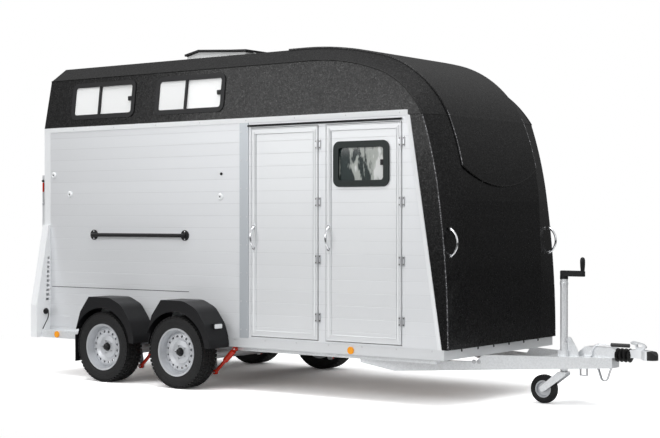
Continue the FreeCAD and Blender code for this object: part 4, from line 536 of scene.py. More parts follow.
# %% Tools for small parts
# The station of the frame's origin, and the walls' distance from the middle plane.
MIDDLE = 2.874
WALL = 0.875
AXES = {"x": Vector((1, 0, 0)), "y": Vector((0, 1, 0)), "z": Vector((0, 0, 1))}


def at(station):
    return station - MIDDLE


def closed(work):
    """A bmesh with its doubles merged and its normals outward becomes a mesh."""
    bmesh.ops.remove_doubles(work, verts=work.verts, dist=1e-6)
    bmesh.ops.recalc_face_normals(work, faces=work.faces)
    mesh = bpy.data.meshes.new("part")
    work.to_mesh(mesh)
    work.free()
    return mesh


def joined(meshes):
    """Several meshes in one bmesh."""
    work = bmesh.new()
    for mesh in meshes:
        work.from_mesh(mesh)
    return work


def keep(name, shape, finish, body, sharp=0.6):
    """A mesh, a bmesh or a list of meshes becomes a piece that rides on a body."""
    if isinstance(shape, list):
        shape = joined(shape)
    mesh = shape if isinstance(shape, bpy.types.Mesh) else closed(shape)
    mesh.name = name
    mesh.materials.clear()
    mesh.materials.append(finishes[finish])
    mesh.shade_smooth()
    mesh.set_sharp_from_angle(angle=sharp)
    item = bpy.data.objects.new(name, mesh)
    scene.collection.objects.link(item)
    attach(item, body)
    return item


def lathe(work, outline, centre, axis, steps=48):
    """Turns (along, radius) points about an axis through the centre."""
    along = AXES[axis] if isinstance(axis, str) else Vector(axis).normalized()
    side = along.orthogonal().normalized()
    other = along.cross(side)
    rings = []
    for distance, radius in outline:
        spot = Vector(centre) + along * distance
        if radius < 1e-6:
            rings.append([work.verts.new(spot)])
            continue
        rings.append([
            work.verts.new(spot + (side * math.cos(turn) + other * math.sin(turn)) * radius)
            for turn in (2 * math.pi * step / steps for step in range(steps))
        ])
    for first, second in zip(rings, rings[1:]):
        for step in range(steps):
            after = (step + 1) % steps
            loop = []
            for ring, places in ((first, (step, after)), (second, (after, step))):
                loop += [ring[0]] if len(ring) == 1 else [ring[place] for place in places]
            if len(set(loop)) > 2:
                work.faces.new(loop)
    return work


def plate(work, outline, axis, low, high, soft=0.0):
    """A flat outline, pushed along an axis from low to high, with softened edges."""
    def spot(first, second, along):
        return {"x": (along, first, second), "y": (first, along, second),
                "z": (first, second, along)}[axis]

    bottom = [work.verts.new(spot(a, b, low)) for a, b in outline]
    top = [work.verts.new(spot(a, b, high)) for a, b in outline]
    faces = [work.faces.new(bottom[::-1]), work.faces.new(top)]
    for index in range(len(outline)):
        after = (index + 1) % len(outline)
        faces.append(work.faces.new([bottom[index], bottom[after], top[after], top[index]]))
    if soft:
        edges = list(dict.fromkeys(edge for face in faces for edge in face.edges))
        bmesh.ops.bevel(work, geom=edges, offset=soft, segments=2, affect="EDGES")
    return work


def block(work, xs, ys, zs, soft=0.0):
    return plate(work, [(xs[0], ys[0]), (xs[1], ys[0]), (xs[1], ys[1]), (xs[0], ys[1])], "z",
                 zs[0], zs[1], soft)


def path(name, points, radius, round_path=True, ring=False, fineness=10):
    """A curve with a round section through the points, and its one spline."""
    data = bpy.data.curves.new(name, "CURVE")
    data.dimensions = "3D"
    data.bevel_depth = radius
    data.bevel_resolution = 3
    data.use_fill_caps = True
    line = data.splines.new("NURBS" if round_path else "POLY")
    line.points.add(len(points) - 1)
    for knot, spot in zip(line.points, points):
        knot.co = (*spot, 1)
    line.use_cyclic_u = ring
    if round_path:
        line.order_u = 3
        line.use_endpoint_u = True
        line.resolution_u = fineness
    return data, line


def as_mesh(item):
    """The mesh that an object shows, with the object itself taken away."""
    scene.collection.objects.link(item)
    bpy.context.view_layer.update()
    mesh = bpy.data.meshes.new_from_object(item.evaluated_get(
        bpy.context.evaluated_depsgraph_get()))
    item.modifiers.clear()
    bpy.data.objects.remove(item)
    return mesh


def tube(points, radius, **shape):
    """A round bar or bead along a path, made as a curve and turned into a mesh."""
    return as_mesh(bpy.data.objects.new("tube", path("tube", points, radius, **shape)[0]))


def bead_pair(run, radius):
    """The same straight-jointed bead on the right and on the left side."""
    return [tube([(x, side * y, z) for x, y, z in run], radius, round_path=False)
            for side in (-1, 1)]


print("walls at", WALL, "middle station", MIDDLE)

# %% [markdown]
# Rivets, screws and bolts come in rows. A row is a line of points with one head put on every
# point, which is what Geometry Nodes do best. The tree has a named input for each size, so
# the same tree makes flat rivets and six-sided bolt heads with a washer.


# %% Node tree for rows of fasteners
def geometry_tree(name, inputs):
    tree = bpy.data.node_groups.new(name, "GeometryNodeTree")
    for label, kind, default in inputs:
        socket = tree.interface.new_socket(label, in_out="INPUT", socket_type=f"NodeSocket{kind}")
        if default is not None:
            socket.default_value = default
    tree.interface.new_socket("Geometry", in_out="OUTPUT", socket_type="NodeSocketGeometry")
    return tree, add(tree, "NodeGroupInput").outputs, add(tree, "NodeGroupOutput").inputs


def finish_tree(tree, geometry, knob, result):
    """Real faces with their material: the end of every tree here."""
    real = add(tree, "GeometryNodeRealizeInstances", _0=geometry)
    plug(tree, add(tree, "GeometryNodeSetMaterial", Geometry=real, Material=knob["Material"]),
         result["Geometry"])


def grow(tree, values):
    """Runs a tree once with its inputs set and returns the plain mesh."""
    item = bpy.data.objects.new("grown", bpy.data.meshes.new("grown"))
    modifier = item.modifiers.new("grown", "NODES")
    modifier.node_group = tree
    for socket in tree.interface.items_tree:
        if socket.in_out == "INPUT" and socket.name in values:
            modifier[socket.identifier] = values[socket.name]
    return as_mesh(item)


tree, knob, result = geometry_tree("fastener_row", [
    ("Start", "Vector", None), ("Step", "Vector", None), ("Turn", "Vector", None),
    ("Count", "Int", 4), ("Radius", "Float", 0.005), ("Height", "Float", 0.003),
    ("Sides", "Int", 16), ("Washer", "Float", 1.5), ("Material", "Material", None)])
line = add(tree, "GeometryNodeMeshLine", mode="OFFSET", Count=knob["Count"],
           Start_Location=knob["Start"], Offset=knob["Step"])
head = add(tree, "GeometryNodeMeshCylinder", Vertices=knob["Sides"], Radius=knob["Radius"],
           Depth=maths(tree, "MULTIPLY", knob["Height"], 2.0))
dome = add(tree, "GeometryNodeMeshUVSphere", Segments=16, Rings=8,
           Radius=maths(tree, "MULTIPLY", knob["Radius"], 0.86))
lift = add(tree, "ShaderNodeCombineXYZ", Z=knob["Height"])
flatten = add(tree, "GeometryNodeTransform", Scale=(1.0, 1.0, 0.42), Geometry=dome,
              Translation=lift)
washer = add(tree, "GeometryNodeMeshCylinder", Vertices=20,
             Radius=maths(tree, "MULTIPLY", knob["Radius"], knob["Washer"]),
             Depth=maths(tree, "MULTIPLY", knob["Height"], 0.6))
heads = add(tree, "GeometryNodeJoinGeometry")
for piece in (head, flatten, washer):
    plug(tree, piece, heads.inputs[0])
turned = add(tree, "FunctionNodeEulerToRotation", _0=knob["Turn"])
copies = add(tree, "GeometryNodeInstanceOnPoints", Points=line, Instance=heads, Rotation=turned)
finish_tree(tree, copies, knob, result)
row_tree = tree

# Which way a head faces: its own up turned to that side. The drawbar's beams lean inwards.
BEAM_LEAN = 0.376
QUARTER = math.pi / 2
FACES = {"right": (QUARTER, 0.0, 0.0), "beam_right": (QUARTER, 0.0, BEAM_LEAN),
         "left": (-QUARTER, 0.0, 0.0), "beam_left": (-QUARTER, 0.0, -BEAM_LEAN),
         "front": (0.0, QUARTER, 0.0)}


def fasteners(name, finish, rows, radius, height, body="trailer", sides=16, washer=1.5):
    """Rows of like heads as one piece. Columns: start, step, count, facing."""
    return keep(name, [
        grow(row_tree, {"Start": start, "Step": step, "Turn": FACES[facing], "Count": count,
                        "Radius": radius, "Height": height, "Sides": sides, "Washer": washer,
                        "Material": finishes[finish]})
        for start, step, count, facing in rows
    ], finish, body)


print("row tree with", len(row_tree.nodes), "nodes")

# %% [markdown]
# The fasteners themselves. The cover strip behind the doors is riveted along both edges, the
# rail and the sill have small rivets at even steps, and the sill's end and the drawbar have
# real bolts. A mirrored row is the same row on the left side.

# %% Rivets, screws and bolts
HINGE_HEIGHTS = (0.6524, 1.1250, 1.5923, 2.0605)
GRAB_RAIL_HEIGHT = 1.31


def with_left(rows):
    """The rows and their mirror images on the left side."""
    return rows + [
        ((start[0], -start[1], start[2]), (step[0], -step[1], step[2]), count,
         facing.replace("right", "left"))
        for start, step, count, facing in rows
    ]


strip_face = -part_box("post_strips")[1].y
sill_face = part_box("sills")[0].y
sill_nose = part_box("sills")[1].x
rail_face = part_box("top_rails")[0].y
fasteners("strip_rivets", "door_fittings", with_left([
    ((at(station), strip_face, 0.52), (0, 0, 0.2385), 8, "right") for station in (2.426, 2.490)
]), 0.0045, 0.0020)
fasteners("rail_rivets", "door_fittings", with_left([
    ((at(0.40), rail_face, 2.287), (0.52, 0, 0), 8, "right"),
]), 0.0040, 0.0018)
fasteners("sill_rivets", "door_fittings", with_left([
    ((at(2.36), sill_face, 0.435), (0.33, 0, 0), 7, "right"),
    ((at(0.70), sill_face, 0.435), (0.30, 0, 0), 2, "right"),
]), 0.0050, 0.0020)
fasteners("nose_screws", "black_plastic", [
    ((sill_nose, -0.62, 0.432), (0, 0.248, 0), 6, "front"),
], 0.0075, 0.0030)
fasteners("drawbar_bolts", "door_fittings", with_left([
    ((at(4.460), -0.4555, 0.332), (0.036, 0.0142, 0), 2, "beam_right"),
]), 0.0100, 0.0080, sides=6, washer=1.7)
for door, hinge_x in (("tack_door", at(3.241)), ("front_door", at(4.058))):
    hinge_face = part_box(f"{door}_hinges")[0].y
    for label, shift, body in (("leaf", -0.019, door), ("frame", 0.019, "trailer")):
        fasteners(f"{door}_{label}_screws", "black_plastic", [
            ((hinge_x + shift, hinge_face + 0.0121, height - 0.026), (0, 0, 0.052), 2, "right")
            for height in HINGE_HEIGHTS
        ], 0.0038, 0.0012, body)
fasteners("grab_rail_screws", "chrome", [
    ((at(station), -WALL - 0.0078, GRAB_RAIL_HEIGHT - 0.033), (0, 0, 0.066), 2, "right")
    for station in (0.668, 1.786)
], 0.0055, 0.0016)

# %% [markdown]
# The stall partitions are bolted through the wall, and each bolt end hides under a bright
# dished cover. A turned outline gives the dish: flat rim, slope, and a shallow centre.

# %% Bolt covers on the wall
COVERS = [(0.129, 1.864), (0.345, 1.683), (2.192, 1.645)]
work, dark = bmesh.new(), bmesh.new()
for side in (-1, 1):
    way = (0, side, 0)
    for station, height in COVERS:
        face = (at(station), side * WALL, height)
        lathe(work, [(0.0, 0.0), (0.0, 0.030), (0.0035, 0.031), (0.0095, 0.025), (0.0115, 0.018),
                     (0.0085, 0.014), (0.0080, 0.0)], face, way)
        lathe(dark, [(0.0075, 0.0), (0.0075, 0.0075), (0.0095, 0.0070), (0.0105, 0.0)], face, way,
              6)
    lathe(dark, [(0.0, 0.0), (0.0, 0.0125), (0.006, 0.0120), (0.0085, 0.006), (0.0085, 0.0)],
          (at(2.204), side * WALL, 1.841), way, 24)
keep("bolt_covers", work, "panel_white", "trailer")
keep("bolt_cover_hearts", dark, "black_plastic", "trailer")
print("covers", 2 * len(COVERS))

# %% [markdown]
# A thin dark stripe runs along the wall over the wheels, and a black gutter lip keeps rain
# off both doors. Two black seam strips hide the joint between roof and nose. All of them are
# thin rubber or film, so they stand out only a millimetre or a few.

# %% Stripe, gutter and seams
SEAM = 2.270
work = bmesh.new()
for side in (-1, 1):
    y = side * WALL
    block(work, (at(0.106), at(1.833)), sorted((y, y + side * 0.0012)), (0.8175, 0.8225))
keep("side_stripe", work, "black_plastic", "trailer")
gutter = plate(bmesh.new(), [(rail_face - 0.014, 2.243), (rail_face + 0.001, 2.249),
                             (rail_face + 0.001, 2.238), (rail_face - 0.012, 2.230)],
               "x", at(2.505), at(4.060), 0.0015)
keep("door_gutter", gutter, "black_plastic", "trailer")
keep("roof_seams", bead_pair([(at(4.121), WALL + 0.0005, SEAM), (at(4.243), WALL + 0.0005, SEAM),
                              (at(4.3085), 0.6005, SEAM)], 0.004), "bellows_rubber", "trailer")
print("gutter under the rail at", round(rail_face, 3))

# %% [markdown]
# Resin mouldings never have a knife edge: every crease is rounded a little, and that rounding
# catches a thin bright line of light. The frame's creases are sharp, so a slim bead lies along
# each one, in a paler resin with bright specks: a painted highlight. The nose's crease is drawn
# through five measured points, as two arcs. The other lines are read from the edges and corners
# of the frame's own nodes, and two of them carry black beads that are painted shadow lines.

# %% Rounded creases of roof and nose


def arc_between(first, middle, last, count):
    """Points on the circle through three flat points."""
    (ax, ay), (bx, by), (cx, cy) = first, middle, last
    d = 2 * (ax * (by - cy) + bx * (cy - ay) + cx * (ay - by))
    ux = ((ax**2 + ay**2) * (by - cy) + (bx**2 + by**2) * (cy - ay)
          + (cx**2 + cy**2) * (ay - by)) / d
    uy = ((ax**2 + ay**2) * (cx - bx) + (bx**2 + by**2) * (ax - cx)
          + (cx**2 + cy**2) * (bx - ax)) / d
    radius = math.hypot(ax - ux, ay - uy)
    start = math.atan2(ay - uy, ax - ux)
    end = math.atan2(cy - uy, cx - ux)
    sweep = (end - start + math.pi) % (2 * math.pi) - math.pi
    return [(ux + radius * math.cos(start + sweep * step / count),
             uy + radius * math.sin(start + sweep * step / count)) for step in range(count + 1)]


NOSE_FOOT = (4.479, 0.4483)
NOSE_HEAD = (4.245, 2.2700)
# Columns: share of the way back, share of the way up.
NOSE_CREASE = [(0.0, 0.0), (0.103, 0.358), (0.338, 0.632), (0.637, 0.841), (1.0, 1.0)]
knots = [(NOSE_FOOT[0] + (NOSE_HEAD[0] - NOSE_FOOT[0]) * back,
          NOSE_FOOT[1] + (NOSE_HEAD[1] - NOSE_FOOT[1]) * up) for back, up in NOSE_CREASE]
crease = arc_between(*knots[:3], 14) + arc_between(*knots[2:], 14)[1:]
keep("nose_creases", bead_pair([(at(station) - 0.0030, WALL - 0.0034, height)
                                for station, height in crease], 0.0050),
     "painted_highlight_gelcoat", "trailer")


def edge_run(node, wanted):
    """Points of a node's edges whose two faces pass a test, from rear to front."""
    work = bmesh.new()
    work.from_mesh(nodes[node].data)
    bmesh.ops.remove_doubles(work, verts=work.verts, dist=1e-5)
    found = {tuple(round(c, 5) for c in vert.co) for edge in work.edges
             if len(edge.link_faces) == 2 and wanted(*(f.normal for f in edge.link_faces))
             for vert in edge.verts}
    work.free()
    return sorted(found)


def roof_step(first, second):
    """The edge between the roof's leaning side and the slope above it, on the right."""
    flat, slope = sorted((first, second), key=lambda normal: normal.y)
    return flat.y < -0.97 and -0.93 < slope.y < -0.2 and slope.z > 0.2


def foremost(wanted, across):
    """The visor's foremost corner at each place along an axis, in order."""
    found = {}
    for vert in nodes["nose_panel"].data.vertices:
        key = round(vert.co[across], 3)
        if wanted(vert.co) and (key not in found or vert.co.x > found[key][0]):
            found[key] = tuple(vert.co)
    return [found[key] for key in sorted(found)]


# Black beads along the roof's step are painted shadow: they stand for the dark line under the
# overlapping slope.
step_run = edge_run("roof_shell", roof_step)
keep("roof_step_shadow_beads", bead_pair([(x, abs(y) + 0.0005, z) for x, y, z in step_run], 0.0050),
     "bellows_rubber", "trailer")

# A black bead under the visor's lower edge is painted shadow. Its side edges carry the painted
# highlight.
VISOR_CORNER = 1.885
VISOR_SIDE = 0.599
lip = foremost(lambda co: co.z < VISOR_CORNER, 1)
keep("visor_shadow_bead", tube([(x - 0.0015, y, z - 0.0035) for x, y, z in lip], 0.0060,
                        round_path=False), "bellows_rubber", "trailer")
edges = []
for side in (-1, 1):
    run = foremost(lambda co: side * co.y > VISOR_SIDE and co.z < SEAM + 0.05, 2)
    edges.append(tube([(x - 0.003, y - side * 0.003, z) for x, y, z in run], 0.0042,
                      round_path=False))
keep("visor_edges", edges, "painted_highlight_gelcoat", "trailer")
print("points: crease", len(crease), "roof step", len(step_run), "visor", len(lip), len(run))

# %% [markdown]
# Each door has a drawn border: a round bead along its outer edge and another round its field.
# A bead is a thin bar bent round a rectangle, half sunk in the sheet. White stiles run above
# and below the handle and along the hinge side.


# %% Door mouldings
def bead_frame(low, high, inset, radius):
    xs, zs = (low.x + inset, high.x - inset), (low.z + inset, high.z - inset)
    return tube([(xs[0], low.y, zs[0]), (xs[1], low.y, zs[0]), (xs[1], low.y, zs[1]),
                 (xs[0], low.y, zs[1])], radius, round_path=False, ring=True)


for door in ("tack_door", "front_door"):
    low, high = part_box(f"{door}_leaf")
    keep(f"{door}_beads", [bead_frame(low, high, 0.006, 0.0030),
                           bead_frame(low, high, 0.0475, 0.0045)], "door_aluminium", door)
    grip_low, grip_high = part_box(f"{door}_handle")
    middle = (grip_low.x + grip_high.x) / 2
    foot, top = low.z + 0.028, high.z - 0.028
    stiles = bmesh.new()
    for x, zs in ((middle, (foot, grip_low.z - 0.022)), (middle, (grip_high.z + 0.022, top)),
                  (high.x - 0.030, (foot, top))):
        block(stiles, (x - 0.0085, x + 0.0085), (low.y - 0.0045, low.y + 0.001), zs, 0.0038)
    keep(f"{door}_stiles", stiles, "profile_white", door)
print("doors moulded")

# %% [markdown]
# Every sliding window has a small black catch at its front edge, and the door's window has
# two drain slots and a catch.

# %% Window catches
# Columns: rear end and front end of a window, as stations.
WINDOWS = [(0.350, 1.158), (1.411, 2.219)]
CATCH_HEIGHT = 2.545
# The roof's side leans in from the wall's half width at its foot to its own at its top.
ROOF_FOOT = 2.308
ROOF_RISE = 0.448
ROOF_HALF = 0.820
half_width = WALL - (WALL - ROOF_HALF) / ROOF_RISE * (CATCH_HEIGHT - ROOF_FOOT)

work = bmesh.new()
for side in (-1, 1):
    for rear, front in WINDOWS:
        y = side * (half_width - 0.002)
        block(work, (at(front - 0.088), at(front - 0.040)), sorted((y, y + side * 0.011)),
              (CATCH_HEIGHT - 0.020, CATCH_HEIGHT + 0.020), 0.003)
keep("window_catches", work, "black_plastic", "trailer")
work = bmesh.new()
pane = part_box("door_window_pane")
block(work, (pane[1].x - 0.062, pane[1].x - 0.034), (pane[0].y - 0.008, pane[0].y),
      (1.880, 1.925), 0.002)
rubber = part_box("door_window_frame")[0]
for shift in (0.17, 0.36):
    block(work, (rubber.x + shift, rubber.x + shift + 0.035),
          (rubber.y - 0.0015, rubber.y + 0.001), (rubber.z + 0.016, rubber.z + 0.023), 0.0006)
keep("door_window_catch", work, "black_plastic", "front_door")
print("catches on", 2 * len(WINDOWS), "windows")

# %% [markdown]
# A tyre shows its tread even from the side. The tread is five ribs of blocks: each rib is one
# block, copied round the wheel at even angles and shifted by its own share of a pitch. The
# whole stays inside the tyre's measured radius, with the grooves cut below it.

# %% Tread tree
TYRE_RADIUS = 0.312
TREAD_DEPTH = 0.010
# Columns: middle and width as shares of the tread, shift as a share of a pitch, skew.
RIBS = [(-0.43, 0.15, 0.00, 0.0), (-0.23, 0.17, 0.50, 0.35), (0.0, 0.20, 0.25, -0.35),
        (0.23, 0.17, 0.75, 0.35), (0.43, 0.15, 0.10, 0.0)]

tree, knob, result = geometry_tree("tread_blocks", [
    ("Radius", "Float", TYRE_RADIUS), ("Tread Width", "Float", 0.160),
    ("Depth", "Float", TREAD_DEPTH), ("Blocks", "Int", 54), ("Groove", "Float", 0.0070),
    ("Material", "Material", None)])
pitch = maths(tree, "DIVIDE", 2 * math.pi, knob["Blocks"])
arc = maths(tree, "SUBTRACT", maths(tree, "MULTIPLY", pitch, knob["Radius"]), knob["Groove"])
line = add(tree, "GeometryNodeMeshLine", Offset=(0.0, 0.0, 0.0), Count=knob["Blocks"])
number = add(tree, "GeometryNodeInputIndex").outputs[0]
ribs = add(tree, "GeometryNodeJoinGeometry")
for middle, width, shift, skew in RIBS:
    size = add(tree, "ShaderNodeCombineXYZ", X=arc,
               Y=maths(tree, "MULTIPLY", knob["Tread Width"], width),
               Z=maths(tree, "MULTIPLY", knob["Depth"], 2.0))
    up = add(tree, "ShaderNodeCombineXYZ",
             Y=maths(tree, "MULTIPLY", knob["Tread Width"], middle),
             Z=maths(tree, "SUBTRACT", knob["Radius"], knob["Depth"]))
    move = add(tree, "GeometryNodeTransform", Rotation=(0.0, 0.0, skew),
               Geometry=add(tree, "GeometryNodeMeshCube", Size=size), Translation=up)
    copies = add(tree, "GeometryNodeInstanceOnPoints", Points=line, Instance=move)
    angle = maths(tree, "MULTIPLY", maths(tree, "ADD", number, shift), pitch)
    swing = add(tree, "ShaderNodeCombineXYZ", Y=angle)
    wheel = add(tree, "GeometryNodeRotateInstances", Local_Space=False, Instances=copies,
                Rotation=add(tree, "FunctionNodeEulerToRotation", _0=swing))
    plug(tree, wheel, ribs.inputs[0])
finish_tree(tree, ribs, knob, result)
tread_tree = tree
print("tread tree with", len(tread_tree.nodes), "nodes")

# %% [markdown]
# Now one tyre, four times. The carcass is a turned outline that closes round the rim, with
# beads, a rim guard, a flat band and three fine rings on each side, as a mould leaves them.
# Its shoulders have short bars, made by the same tread tree with other sizes, because that is
# the part of a tread you see from beside.

# %% Tyres
WHEELS = [(f"{end}_{hand}", side) for end in ("rear", "front")
          for hand, side in (("right", -1), ("left", 1))]
# Columns: distance from the tyre's middle, radius.
CARCASS_SIDE = [(0.0820, 0.2000), (0.0840, 0.2080), (0.0905, 0.2150), (0.0935, 0.2200),
                (0.0925, 0.2225), (0.0955, 0.2300), (0.0973, 0.2420), (0.0975, 0.2520),
                (0.0960, 0.2535), (0.0974, 0.2550), (0.0972, 0.2680), (0.0956, 0.2695),
                (0.0968, 0.2710), (0.0950, 0.2830), (0.0935, 0.2845), (0.0940, 0.2860),
                (0.0890, 0.2955), (0.0790, 0.3010)]
SHOULDER = {"Radius": 0.3060, "Tread Width": 0.1880, "Depth": 0.0060, "Blocks": 54,
            "Groove": 0.0120}
carcass = [(-a, r) for a, r in CARCASS_SIDE] + [(0.0, 0.3020)] + CARCASS_SIDE[::-1]
carcass.append(carcass[0])
SHOULDER_FROM = 0.060
rubber_of = {"Material": finishes["tyre"]}
for name, side in WHEELS:
    low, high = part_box(f"tyre_{name}")
    centre = (low + high) / 2
    carcass_mesh = closed(lathe(bmesh.new(), carcass, centre, "y", 96))
    blocks = grow(tread_tree, {"Radius": TYRE_RADIUS - 0.0006} | rubber_of)
    shoulder = grow(tread_tree, SHOULDER | rubber_of)
    work = joined([shoulder])
    inner = [vert for vert in work.verts if abs(vert.co.y) < SHOULDER_FROM]
    bmesh.ops.delete(work, geom=inner, context="VERTS")
    work.to_mesh(shoulder)
    work.free()
    for mesh in (blocks, shoulder):
        mesh.transform(Matrix.Translation(centre))
    tyre = keep(f"tyre_{name}_treaded", [carcass_mesh, blocks, shoulder], "tyre",
                f"wheel_{name}", sharp=0.5)
    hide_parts(f"tyre_{name}")
print("tyre half width", round((high - low).y / 2, 4), "radius", round((high - low).z / 2, 4))

# %% [markdown]
# The rim comes from the frame. It still needs its five bolts with round seats, and the black
# grease cap in the middle. A ring of bolts is the same idea as the tread: one bolt, copied
# round the axle.

# %% Wheel bolts and caps
BOLT_CIRCLE = 0.056
for name, side in WHEELS:
    low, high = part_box(f"tyre_{name}")
    axle = (low + high) / 2
    disc = axle.y + side * 0.031
    way = (0, side, 0)
    work = bmesh.new()
    for bolt in range(5):
        turn = 2 * math.pi * (bolt + 0.5) / 5
        spot = (axle.x + BOLT_CIRCLE * math.cos(turn), disc, axle.z + BOLT_CIRCLE * math.sin(turn))
        lathe(work, [(-0.004, 0.0), (-0.004, 0.0125), (0.003, 0.0115), (0.004, 0.0092)], spot,
              way, 24)
        lathe(work, [(0.003, 0.0), (0.003, 0.0090), (0.015, 0.0088), (0.0168, 0.0070),
                     (0.0168, 0.0)], spot, way, 6)
    keep(f"bolts_{name}", work, "door_fittings", f"wheel_{name}")
    hub = (axle.x, disc, axle.z)
    work = lathe(bmesh.new(), [(-0.012, 0.0), (-0.012, 0.0325), (0.004, 0.0335), (0.010, 0.0330),
                               (0.020, 0.0290), (0.026, 0.0270), (0.0285, 0.0230),
                               (0.0292, 0.0)], hub, way, 8)
    lathe(work, [(-0.004, 0.0300), (-0.004, 0.0370), (0.003, 0.0372), (0.006, 0.0345),
                 (0.006, 0.0300), (-0.004, 0.0300)], hub, way, 40)
    keep(f"hub_cap_{name}", work, "black_plastic", f"wheel_{name}")
print("bolts on", len(WHEELS), "wheels")

# %% [markdown]
# White marker lamps sit on the front faces of the front mudguards. A lens is a softened block
# with rounded corners, in clear ribbed plastic, let into the black base.

# %% Marker lamps
FRONT_AXLE = 1.894
GUARD_HALF = 0.400
GUARD_FACE = at(FRONT_AXLE + GUARD_HALF * 0.93)
work = bmesh.new()
for side in (-1, 1):
    block(work, (GUARD_FACE - 0.006, GUARD_FACE + 0.009), sorted((side * 0.943, side * 1.037)),
          (0.526, 0.564), 0.005)
keep("marker_lenses", work, "lamp_clear", "trailer")
print("marker lamps at", round(GUARD_FACE, 3))

# %% [markdown]
# Under the drawbar's right beam hang a safety strap and a small lug. Both are bent flats: an
# outline that follows the outside and comes back inside, pushed sideways by the flat's width.

# %% Drawbar strap and lug


def bent_flat(points, thick):
    """The outline of a strip: the points, then the same points moved in by its thickness."""
    inner = []
    for index, point in enumerate(points):
        before = points[max(index - 1, 0)]
        after = points[min(index + 1, len(points) - 1)]
        way = Vector((after[0] - before[0], after[1] - before[1])).normalized()
        inner.append((point[0] - way.y * thick, point[1] + way.x * thick))
    return points + inner[::-1]


STRAP_AT = at(5.391)
BEND = 0.034
strap = ([(STRAP_AT - 0.061, 0.3065), (STRAP_AT - 0.052, 0.284)]
         + [(STRAP_AT + BEND * math.cos(math.radians(turn)),
             0.236 + BEND * math.sin(math.radians(turn))) for turn in range(200, 341, 14)]
         + [(STRAP_AT + 0.052, 0.284), (STRAP_AT + 0.061, 0.3065)])
work = plate(bmesh.new(), bent_flat(strap, 0.009), "y", -0.074, -0.048)
plate(work, [(at(5.212), 0.301), (at(5.212), 0.240), (at(5.274), 0.240), (at(5.274), 0.301),
             (at(5.266), 0.301), (at(5.266), 0.249), (at(5.220), 0.249), (at(5.220), 0.301)],
      "y", -0.132, -0.108)
keep("drawbar_strap", work, "door_fittings", "trailer")
print("strap under the drawbar, lowest", round(min(z for x, z in strap), 3))

# %% [markdown]
# The jockey wheel's leg is held by a clamp with a short bar to turn, a bent round rod in a
# boss, and it has a collar near its top. The crank on top has a deep moulded arm and a plump
# grip, and the rubber bellows ahead of the drawbar bulge in four soft folds.

# %% Jockey wheel fittings and bellows
CRANK_REACH = 0.160
FOLDS = 4
# Columns: share of a fold's width, radius.
FOLD_SHAPE = ((0.0, 0.030), (0.18, 0.043), (0.36, 0.0525), (0.5, 0.054), (0.64, 0.0525),
              (0.82, 0.043))

leg_low, leg_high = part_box("jockey_leg")
leg_x, leg_y = (leg_low.x + leg_high.x) / 2, (leg_low.y + leg_high.y) / 2
clamp_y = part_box("jockey_clamp")[0].y
work = lathe(bmesh.new(), [(0.0, 0.0), (0.0, 0.0105), (0.012, 0.0105), (0.012, 0.0065),
                           (0.030, 0.0065), (0.030, 0.0)],
             (leg_x + 0.043, clamp_y + 0.004, 0.500), (0, -1, 0), 20)
work.from_mesh(tube([(leg_x + 0.043, clamp_y - 0.022, 0.500),
                     (leg_x + 0.060, clamp_y - 0.026, 0.548),
                     (leg_x + 0.064, clamp_y - 0.028, 0.590)], 0.0045))
keep("jockey_clamp_bar", work, "door_fittings", "trailer")
collar = lathe(bmesh.new(), [(0.0, 0.0300), (0.0, 0.0325), (0.018, 0.0325), (0.020, 0.0310),
                             (0.020, 0.0300), (0.0, 0.0300)], (leg_x, leg_y, leg_high.z - 0.045),
               "z", 40)
keep("jockey_collar", collar, "galvanised", "trailer")

crank_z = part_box("jockey_crank")[0].z
crank_slot = slot_of["jockey_crank"]
half_arm = [(-0.028, 0.016), (-0.018, 0.0275), (0.020, 0.0275), (CRANK_REACH + 0.014, 0.0180)]
arm = plate(bmesh.new(), [(leg_x + x, leg_y - y) for x, y in half_arm]
            + [(leg_x + CRANK_REACH + 0.020, leg_y)]
            + [(leg_x + x, leg_y + y) for x, y in half_arm[::-1]],
            "z", crank_z + 0.021, crank_z + 0.066, 0.004)
keep("crank_arm_cover", arm, crank_slot, "trailer")
grip = lathe(bmesh.new(), [(0.060, 0.0), (0.060, 0.0160), (0.075, 0.0162), (0.100, 0.0185),
                           (0.130, 0.0200), (0.150, 0.0192), (0.163, 0.0160), (0.170, 0.0095),
                           (0.173, 0.0)], (leg_x + CRANK_REACH, leg_y, crank_z), "z", 32)
keep("crank_grip", grip, crank_slot, "trailer", sharp=1.2)

bellows_low, bellows_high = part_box("bellows")
fold_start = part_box("drawbar")[1].x + 0.003
fold_width = (bellows_high.x + 0.008 - fold_start) / FOLDS
outline = ([(0.0, 0.0)]
           + [((fold + share) * fold_width, radius)
              for fold in range(FOLDS) for share, radius in FOLD_SHAPE]
           + [(FOLDS * fold_width, 0.030), (FOLDS * fold_width, 0.0)])
folds = lathe(bmesh.new(), outline,
              (fold_start, 0.0, (bellows_low.z + bellows_high.z) / 2 - 0.013), "x", 56)
keep("bellows_folds", folds, "bellows_rubber", "trailer", sharp=1.2)
print("clamp bar at", round(leg_x, 3), "folds from", round(fold_start, 3))
